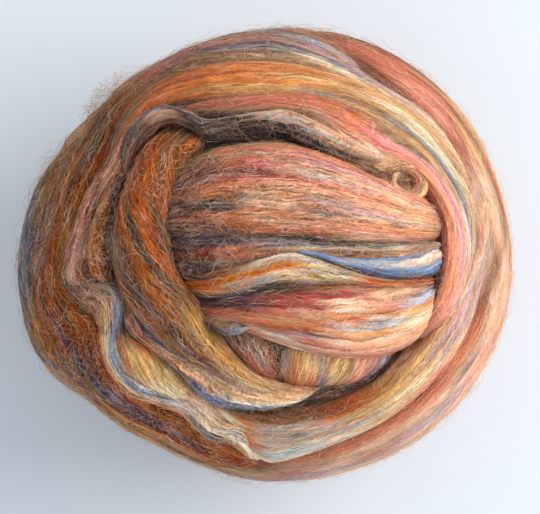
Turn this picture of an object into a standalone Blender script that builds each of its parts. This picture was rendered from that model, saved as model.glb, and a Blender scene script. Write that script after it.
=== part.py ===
"""A ball of combed wool roving: one thick, soft strand wound round and round itself.

The ball is one solid. Its form is worked out the way the real one is made: each turn of the strand is laid on an
egg-shaped shell as a flattened rope, and a quad sphere is drawn in from outside until it meets the outermost turns.
The foot is cut level, because a soft ball settles on a small flat spot.

Run it with: blender --background --python part.py
"""

import math

import bmesh
import bpy
from mathutils import Vector
from mathutils.bvhtree import BVHTree

# ---------------------------------------------------------------- named sizes, in metres
PLAN = 0.00037  # one unit of x and y in the tables of turns
MM = 0.001
HALF_WIDE = 0.0905  # the shell's half sizes along X, Y and Z
HALF_DEEP = 0.0855
HALF_HIGH = 0.0772
FULLNESS = 2.15  # 2 is an egg, and more is boxier
FOOT_SINK = 0.0030  # how far the shell sinks into its flat foot
CORE_UNDER = 0.0105  # the wound core's surface lies this far under the shell
SKIN_CUTS = 27  # squares along one side of the quad sphere
SKIN_START = 0.022  # how far outside the shell the skin starts
DIP = 0.0016  # how far a point of the skin may lie under the middle of its neighbours
FILL_ROUNDS = 12
SOFTEN = 0.35  # how much the skin is smoothed between turns, each round
SOFTEN_ROUNDS = 2
STEP = 0.004  # distance between sections along a turn
ROUND = 18  # points round one section
CENTRE = Vector((0.0, 0.0, HALF_HIGH - FOOT_SINK))

# The ball is lopsided in plan. Each row is an angle from +X, in degrees, and the share of the shell's radius there.
#          angle  share
OUTLINE = (
    (0, 1.000),
    (45, 1.020),
    (75, 1.025),
    (95, 0.990),
    (125, 0.960),
    (142, 0.945),
    (165, 0.985),
    (188, 1.015),
    (206, 1.045),
    (222, 1.010),
    (240, 0.960),
    (262, 0.990),
    (290, 1.040),
    (311, 1.065),
    (335, 1.030),
)

# ---------------------------------------------------------------- the turns that show from above
# One row for each section. x is to the right and y away from the middle, in PLAN units. lift is how far the turn's outer
# face stands over the shell, wide and thick are half the section, all in mm. Every section is on the upper half.
#     x     y   lift  wide  thick
UPPER_TURNS = {
    "core_upper": (
        (-99, 52, -9, 11.0, 7.0),
        (-24, 68, -2, 18.5, 11.0),
        (81, 60, -2, 17.0, 10.0),
        (178, 36, -9, 9.5, 6.0),
    ),
    "core_middle": (
        (-88, -30, -10, 6.0, 5.0),
        (-4, -12, -2, 9.0, 8.0),
        (70, -4, -2, 8.0, 7.0),
        (176, -4, -9, 7.0, 5.0),
    ),
    "core_lower": (
        (-76, -48, -10, 4.5, 5.0),
        (1, -60, -4, 10.5, 8.5),
        (91, -62, -1, 15.0, 10.5),
        (171, -39, -6, 8.5, 7.0),
        (190, -20, -11, 5.0, 5.0),
    ),
    "cross_band": (
        (74, -62, -14, 22.0, 6.0),
        (75, -110, -7, 24.0, 6.5),
        (78, -160, -12, 22.0, 5.0),
    ),
    "side_turn": (
        (-94, 148, -7, 8.0, 5.0),
        (-126, 88, 0, 12.0, 8.0),
        (-131, 43, 1, 12.8, 8.5),
        (-125, -4, 1, 13.0, 8.5),
        (-79, -86, 0, 12.0, 8.0),
        (-6, -136, -4, 6.5, 5.0),
        (36, -147, -9, 4.0, 3.5),
    ),
    "gold_fold": (
        (-154, -60, -6, 5.0, 4.0),
        (-126, -98, -1, 8.5, 6.5),
        (-46, -158, -6, 5.0, 4.0),
    ),
    "bottom_turn": (
        (-96, -142, -6, 5.0, 4.0),
        (-14, -178, 1, 10.5, 8.0),
        (76, -163, 0, 9.5, 7.5),
        (161, -110, 0, 9.0, 7.0),
        (204, -20, -1, 8.0, 6.0),
        (210, 68, -7, 6.0, 4.0),
    ),
    "inner_ring": (
        (-90, 136, -6, 5.0, 5.0),
        (1, 145, -1, 8.0, 7.0),
        (96, 122, -1, 8.5, 7.0),
        (172, 58, -2, 6.5, 6.0),
        (184, -38, -8, 4.0, 4.0),
    ),
    "orange_turn": (
        (-166, -60, -7, 6.0, 5.0),
        (-190, -4, -1, 9.0, 7.0),
        (-174, 90, 1, 10.0, 8.0),
        (-102, 161, 1, 9.5, 7.5),
        (21, 181, 1, 9.0, 7.5),
        (136, 143, 1, 9.5, 7.5),
        (200, 62, 0, 8.0, 6.5),
        (208, -27, -8, 5.0, 4.0),
    ),
    "plum_turn": (
        (-172, 138, -8, 6.0, 4.5),
        (-89, 198, 0, 8.0, 6.5),
        (21, 215, 0, 8.5, 6.5),
        (121, 176, -1, 8.0, 6.5),
        (198, 96, -1, 7.5, 6.0),
        (219, 3, -8, 5.0, 4.0),
    ),
    "outer_turn": (
        (-2, 226, -9, 8.0, 6.0),
        (114, 197, 0, 10.5, 8.5),
        (202, 110, 0, 11.5, 9.0),
        (230, -7, 0, 11.5, 9.0),
        (193, -121, 0, 11.5, 9.0),
        (91, -192, 0, 11.5, 9.0),
        (-39, -202, 0, 11.0, 9.0),
        (-149, -141, 0, 11.0, 8.5),
        (-204, -37, 0, 11.0, 8.5),
        (-197, 70, -7, 7.0, 5.0),
    ),
    "outer_left": (
        (-132, 182, -8, 8.0, 6.0),
        (-206, 92, 0, 12.0, 9.0),
        (-230, 2, 0, 13.0, 9.5),
        (-193, -126, -1, 12.0, 9.0),
        (-92, -203, -7, 8.0, 6.0),
    ),
}

# ---------------------------------------------------------------- the turns round the sides and under the ball
# Each is a ring round an axis that leans from the upright. The lean and where it heads are in degrees, and spread is the
# angle from the axis to the ring: 90 is a ring round the ball's full girth. lift, wide and thick are as above.
#                lean  heading spread  lift  wide  thick
LOWER_TURNS = {
    "girth_one": (8, 80, 83, 0, 12.5, 8.0),
    "girth_two": (5, 300, 96, 1, 12.5, 8.0),
    "girth_three": (10, 60, 110, 0, 12.5, 8.0),
    "under_one": (17, 200, 124, 0, 12.5, 8.0),
    "under_two": (52, 30, 112, 1, 12.5, 8.0),
    "under_three": (84, 122, 95, -1, 12.5, 8.0),
    "under_four": (60, 250, 108, 0, 12.5, 8.0),
    "under_five": (76, 160, 82, -1, 12.0, 8.0),
    "under_six": (86, 75, 92, -2, 12.0, 8.0),
}
HIDE_FROM, HIDE_OVER, HIDE_LIFT = 0.010, 0.036, -14  # a lower turn dives under the upper ones between these heights


def outline_share(angle):
    """The share of the shell's radius at an angle of the plan, read smoothly from OUTLINE."""
    turn = math.degrees(angle) % 360
    rows = [*OUTLINE, (OUTLINE[0][0] + 360, OUTLINE[0][1])]
    for (low, one), (high, two) in zip(rows, rows[1:]):
        if low <= turn <= high:
            return one + (two - one) * eased(turn, low, high)
    return OUTLINE[0][1]


def plan_radius(x, y):
    """The shell's radius at its girth, in the direction of (x, y)."""
    angle = math.atan2(y, x)
    egg = 1 / math.hypot(math.cos(angle) / HALF_WIDE, math.sin(angle) / HALF_DEEP)
    return egg * outline_share(angle)


def eased(value, low, high):
    t = min(max((value - low) / (high - low), 0.0), 1.0)
    return t * t * (3 - 2 * t)


def on_shell(p):
    """p, taken from the ball's middle, moved straight out or in to the shell."""
    flat = math.hypot(p[0], p[1]) / plan_radius(p[0], p[1])
    share = (flat**FULLNESS + (abs(p[2]) / HALF_HIGH) ** FULLNESS) ** (1 / FULLNESS)
    return Vector(p[:3]) / share


def shell_normal(p):
    flat = math.hypot(p[0], p[1])
    radius = plan_radius(p[0], p[1])
    out = (flat / radius) ** (FULLNESS - 1) / radius
    up = math.copysign((abs(p[2]) / HALF_HIGH) ** (FULLNESS - 1) / HALF_HIGH, p[2])
    way = out / max(flat, 1e-9)
    return Vector((p[0] * way, p[1] * way, up)).normalized()


def upper_place(x, y):
    """The point of the shell's upper half over a place of the plan."""
    x, y = x * PLAN, y * PLAN
    flat = min(math.hypot(x, y) / plan_radius(x, y), 0.999)
    return on_shell((x, y, HALF_HIGH * (1 - flat**FULLNESS) ** (1 / FULLNESS)))


def smooth_row(rows, at, closed):
    """A row of numbers read from a smooth curve through the rows, at a place counted in rows."""
    n = len(rows)
    i = int(math.floor(at))
    t = at - i

    def row(k):
        return rows[k % n] if closed else rows[min(max(k, 0), n - 1)]

    a, b, c, d = (row(i + k) for k in (-1, 0, 1, 2))
    return [
        0.5 * (2 * q + (r - p) * t + (2 * p - 5 * q + 4 * r - s) * t * t + (3 * q - p - 3 * r + s) * t**3)
        for p, q, r, s in zip(a, b, c, d)
    ]


def sections_of_upper(table):
    """Rows of shell point, lift, half width and half thickness, in metres."""
    fine = [smooth_row(table, k / 6, closed=False) for k in range(6 * (len(table) - 1) + 1)]
    return [[*upper_place(x, y), lift * MM, wide * MM, thick * MM] for x, y, lift, wide, thick in fine]


def sections_of_lower(lean, heading, spread, lift, wide, thick, count=40):
    a, h, s = (math.radians(v) for v in (lean, heading, spread))
    axis = Vector((math.sin(a) * math.cos(h), math.sin(a) * math.sin(h), math.cos(a)))
    side = axis.cross(Vector((0.3, 0.1, 1.0))).normalized()
    other = axis.cross(side)
    rows = []
    for k in range(count):
        turn = 2 * math.pi * k / count
        way = axis * math.cos(s) + (side * math.cos(turn) + other * math.sin(turn)) * math.sin(s)
        p = on_shell((way.x * HALF_WIDE, way.y * HALF_DEEP, way.z * HALF_HIGH))
        under = eased(p.z, HIDE_FROM, HIDE_OVER)
        rows.append([*p, (lift + (HIDE_LIFT - lift) * under) * MM, wide * MM, thick * MM])
    return rows


def lay_turn(bm, rows, closed):
    """One turn of the strand as a closed tube with a wide, flattened section."""
    spans = len(rows) if closed else len(rows) - 1
    length = sum((Vector(rows[(k + 1) % len(rows)][:3]) - Vector(rows[k][:3])).length for k in range(spans))
    count = max(8, round(length / STEP))
    places = [spans * k / count for k in range(count if closed else count + 1)]
    line = [smooth_row(rows, at, closed) for at in places]
    middles = [on_shell(r[:3]) for r in line]
    rings = []
    for k, (p, r) in enumerate(zip(middles, line)):
        before, after = k - 1, k + 1
        if closed:
            before, after = before % len(line), after % len(line)
        else:
            before, after = max(before, 0), min(after, len(line) - 1)
        up = shell_normal(p)
        side = (middles[after] - middles[before]).cross(up).normalized()
        lift, wide, thick = r[3:]
        ring = []
        for j in range(ROUND):
            turn = 2 * math.pi * j / ROUND
            across = on_shell(p + side * wide * math.cos(turn))
            ring.append(bm.verts.new(CENTRE + across + up * (lift - thick + thick * math.sin(turn))))
        rings.append(ring)
    for k in range(len(rings) if closed else len(rings) - 1):
        one, two = rings[k], rings[(k + 1) % len(rings)]
        for j in range(ROUND):
            n = (j + 1) % ROUND
            bm.faces.new((one[j], one[n], two[n], two[j]))
    if not closed:
        bm.faces.new(rings[0][::-1])
        bm.faces.new(rings[-1])


def clear_scene():
    for found in list(bpy.data.objects):
        bpy.data.objects.remove(found, do_unlink=True)


def add_object(name, bm):
    bm.normal_update()
    mesh = bpy.data.meshes.new(name)
    bm.to_mesh(mesh)
    made = bpy.data.objects.new(name, mesh)
    bpy.context.scene.collection.objects.link(made)
    return made


def as_helper(made):
    made.hide_render = True
    made.display_type = "WIRE"
    return made


def wind_turns():
    """The guide that the skin is drawn onto: the wound core and every turn laid over it."""
    bm = bmesh.new()
    bmesh.ops.create_uvsphere(bm, u_segments=48, v_segments=24, radius=1.0)
    for v in bm.verts:
        v.co = on_shell((v.co.x * HALF_WIDE, v.co.y * HALF_DEEP, v.co.z * HALF_HIGH))
        v.co = CENTRE + v.co * (1 - CORE_UNDER / v.co.length)
    for table in UPPER_TURNS.values():
        lay_turn(bm, sections_of_upper(table), closed=False)
    for row in LOWER_TURNS.values():
        lay_turn(bm, sections_of_lower(*row), closed=True)
    bmesh.ops.recalc_face_normals(bm, faces=bm.faces)
    return bm


def draw_in(skin, turns):
    """Moves each point of the skin straight in to the turns, then fills the narrow pits and softens the rest."""
    tree = BVHTree.FromBMesh(turns)
    skin.verts.ensure_lookup_table()
    ways = [(v.co - CENTRE).normalized() for v in skin.verts]
    reach = [(tree.ray_cast(v.co, -way)[0] - CENTRE).length for v, way in zip(skin.verts, ways)]
    near = [[e.other_vert(v).index for e in v.link_edges] for v in skin.verts]

    def beside(k):
        return sum(reach[n] for n in near[k]) / len(near[k])

    for _ in range(FILL_ROUNDS):
        reach = [max(reach[k], beside(k) - DIP) for k in range(len(reach))]
    for _ in range(SOFTEN_ROUNDS):
        reach = [reach[k] + (beside(k) - reach[k]) * SOFTEN for k in range(len(reach))]
    for v, way, far in zip(skin.verts, ways, reach):
        v.co = CENTRE + way * far


def centre_over_origin(skin):
    for i in (0, 1):
        middle = (max(v.co[i] for v in skin.verts) + min(v.co[i] for v in skin.verts)) / 2
        for v in skin.verts:
            v.co[i] -= middle


def make_foot_cutter():
    """A block whose top is the level the ball stands on."""
    bm = bmesh.new()
    bmesh.ops.create_cube(bm, size=1.0)
    for v in bm.verts:
        v.co = Vector((v.co.x * 0.16, v.co.y * 0.16, v.co.z * 0.03 - 0.015))
    return as_helper(add_object("foot_cutter", bm))


def make_ball(turns, cutter):
    skin = bmesh.new()
    bmesh.ops.create_cube(skin, size=2.0)
    bmesh.ops.subdivide_edges(skin, edges=skin.edges, cuts=SKIN_CUTS - 1, use_grid_fill=True)
    skin.verts.index_update()
    for v in skin.verts:
        even = Vector([math.tan(c * math.pi / 4) for c in v.co]).normalized()
        v.co = on_shell((even.x * HALF_WIDE, even.y * HALF_DEEP, even.z * HALF_HIGH))
        v.co = CENTRE + v.co * (1 + SKIN_START / v.co.length)
    draw_in(skin, turns)
    centre_over_origin(skin)
    ball = add_object("roving_ball", skin)
    foot = ball.modifiers.new("level_foot", "BOOLEAN")
    foot.operation = "DIFFERENCE"
    foot.solver = "EXACT"
    foot.object = cutter
    ball.data.shade_smooth()
    return ball


def make_wool():
    wool = bpy.data.materials.new("blended_wool")
    wool.use_nodes = True
    shader = wool.node_tree.nodes["Principled BSDF"]
    shader.inputs["Base Color"].default_value = (0.46, 0.19, 0.085, 1.0)
    shader.inputs["Roughness"].default_value = 0.85
    shader.inputs["Metallic"].default_value = 0.0
    return wool


def main():
    clear_scene()
    turns = wind_turns()
    as_helper(add_object("winding_guide", turns))
    ball = make_ball(turns, make_foot_cutter())
    ball.data.materials.append(make_wool())


main()
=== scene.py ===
"""Looks for the ball of wool roving, in Blender 4.5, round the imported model.

Each turn of roving is a closed lofted strand with its own streaks of colour, laid on the same egg-shaped shell as the
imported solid. Over the strands lie thousands of separate fibres. Lengths here are millimetres until a mesh is made.
"""

import math

import bpy
import numpy as np
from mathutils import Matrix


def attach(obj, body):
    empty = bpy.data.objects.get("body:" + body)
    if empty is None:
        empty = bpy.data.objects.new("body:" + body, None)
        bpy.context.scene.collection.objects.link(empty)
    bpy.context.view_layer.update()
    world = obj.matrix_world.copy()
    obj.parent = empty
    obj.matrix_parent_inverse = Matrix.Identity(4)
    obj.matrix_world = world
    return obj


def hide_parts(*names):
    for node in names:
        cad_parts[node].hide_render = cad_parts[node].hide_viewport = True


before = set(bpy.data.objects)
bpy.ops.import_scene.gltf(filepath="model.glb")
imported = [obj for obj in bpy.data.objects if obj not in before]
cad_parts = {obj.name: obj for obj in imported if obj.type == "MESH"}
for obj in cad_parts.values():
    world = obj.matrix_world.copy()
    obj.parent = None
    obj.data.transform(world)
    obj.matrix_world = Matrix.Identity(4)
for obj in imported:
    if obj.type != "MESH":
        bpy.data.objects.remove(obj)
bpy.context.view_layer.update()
rng = np.random.default_rng(7)

# ---------------------------------------------------------------- the shell that the strands lie on, as the part has it
HALF_WIDE, HALF_DEEP, HALF_HIGH = 90.5, 85.5, 77.2
FULLNESS = 2.15
FOOT_SINK = 3.0
MIDDLE = np.array([0.0, 0.0, HALF_HIGH - FOOT_SINK])
OUTLINE = np.array(
    [
        (0, 1.012),
        (45, 1.032),
        (75, 1.02),
        (95, 0.986),
        (125, 0.956),
        (142, 0.955),
        (165, 0.985),
        (188, 1.015),
        (206, 1.035),
        (222, 0.965),
        (240, 0.952),
        (262, 0.975),
        (290, 1.003),
        (311, 1.04),
        (335, 1.032),
        (360, 1.012),
    ]
)


def eased(t):
    t = np.clip(t, 0.0, 1.0)
    return t * t * (3 - 2 * t)


def plan_radius(x, y):
    angle = np.arctan2(y, x)
    turn = np.degrees(angle) % 360
    k = np.clip(np.searchsorted(OUTLINE[:, 0], turn, side="right") - 1, 0, len(OUTLINE) - 2)
    low, high = OUTLINE[k], OUTLINE[k + 1]
    share = low[..., 1] + (high[..., 1] - low[..., 1]) * eased((turn - low[..., 0]) / (high[..., 0] - low[..., 0]))
    return share / np.hypot(np.cos(angle) / HALF_WIDE, np.sin(angle) / HALF_DEEP)


def shell_share(p):
    """1 on the shell, less inside. p is from the ball's middle."""
    flat = np.hypot(p[..., 0], p[..., 1]) / plan_radius(p[..., 0], p[..., 1])
    return (flat**FULLNESS + (np.abs(p[..., 2]) / HALF_HIGH) ** FULLNESS) ** (1 / FULLNESS)


def on_shell(p):
    return p / shell_share(p)[..., None]


def shell_normal(p):
    flat = np.hypot(p[..., 0], p[..., 1])
    radius = plan_radius(p[..., 0], p[..., 1])
    out = (flat / radius) ** (FULLNESS - 1) / radius / np.maximum(flat, 1e-9)
    up = np.sign(p[..., 2]) * (np.abs(p[..., 2]) / HALF_HIGH) ** (FULLNESS - 1) / HALF_HIGH
    return unit(np.stack([p[..., 0] * out, p[..., 1] * out, up], -1))


def unit(v):
    return v / np.maximum(np.linalg.norm(v, axis=-1, keepdims=True), 1e-12)


# ---------------------------------------------------------------- the camera, and a place on the shell from a place seen
LOOK_AT = np.array([2.3, 0.0, 74.0])
ELEVATION = math.radians(84)
AWAY = 1150.0
FOCAL, SENSOR = 204.0, 36.0
PIXELS = 540 * FOCAL / SENSOR
BACK = np.array([0.0, -math.cos(ELEVATION), math.sin(ELEVATION)])
UP = np.array([0.0, math.sin(ELEVATION), math.cos(ELEVATION)])
EYE = LOOK_AT + BACK * AWAY


def seen_place(xy):
    """The point of the shell, from the ball's middle, seen at (x, y) of the 540 by 514 frame, or the nearest one."""
    xy = np.asarray(xy, float)
    way = (
        -BACK
        + np.array([1.0, 0.0, 0.0]) * ((xy[..., 0:1] - 270) / PIXELS)
        + UP * ((257 - xy[..., 1:2]) / PIXELS)
    )
    start = EYE - MIDDLE
    far = np.linspace(AWAY - 110, AWAY + 60, 120)
    shares = shell_share(start + way[..., None, :] * far[:, None])
    best = far[np.argmin(shares, -1)]
    near = np.full_like(best, AWAY - 110)
    inside = shares.min(-1) < 1
    low, high = near.copy(), best.copy()
    for _ in range(24):
        mid = (low + high) / 2
        out = shell_share(start + way * mid[..., None]) > 1
        low, high = np.where(out, mid, low), np.where(out, high, mid)
    reach = np.where(inside, high, best)
    return on_shell(start + way * reach[..., None])


def down_from(p, far):
    """The shell's point that lies far below p along the shell, down its meridian."""
    flat = unit(p[..., :2])
    steps = 40
    q = p.copy()
    for _ in range(steps):
        n = shell_normal(q)
        down = np.stack([n[..., 2] * flat[..., 0], n[..., 2] * flat[..., 1], -np.sum(n[..., :2] * flat, -1)], -1)
        q = on_shell(q + unit(down) * (far / steps)[..., None])
    return q


# ---------------------------------------------------------------- colours of the blended wool, as sRGB out of 255
WOOL = {
    "black": (26, 23, 26),
    "charcoal": (52, 50, 56),
    "dark_brown": (62, 38, 26),
    "brown": (110, 66, 38),
    "taupe": (142, 104, 78),
    "tan": (190, 144, 108),
    "olive": (134, 104, 64),
    "dark_olive": (90, 68, 44),
    "maroon": (98, 34, 30),
    "crimson": (158, 50, 48),
    "rust": (168, 78, 42),
    "dark_rust": (132, 56, 28),
    "terracotta": (194, 90, 62),
    "coral": (210, 96, 74),
    "orange": (206, 106, 52),
    "bright_orange": (228, 134, 76),
    "ochre": (188, 130, 76),
    "gold": (222, 170, 108),
    "yellow": (236, 200, 142),
    "cream": (238, 218, 180),
    "white": (232, 216, 200),
    "peach": (238, 180, 142),
    "salmon": (226, 142, 112),
    "rose": (206, 104, 100),
    "pink": (228, 150, 144),
    "grey": (150, 146, 144),
    "light_grey": (188, 180, 174),
    "navy": (40, 50, 84),
    "blue": (58, 116, 168),
    "cornflower": (98, 154, 200),
    "pale_blue": (164, 190, 208),
    "steel": (82, 108, 130),
    "purple": (96, 70, 92),
    "lavender": (168, 146, 158),
    "teal": (42, 62, 72),
}


def linear(name):
    c = np.array(WOOL[name]) / 255
    return np.where(c <= 0.04045, c / 12.92, ((c + 0.055) / 1.055) ** 2.4)


LINEAR = {name: linear(name) for name in WOOL}


def stops(text):
    """[(share, colour name), ...] from 'share colour, share colour, ...'."""
    return [(float(a), b) for a, b in (part.split() for part in text.split(","))]


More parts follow.
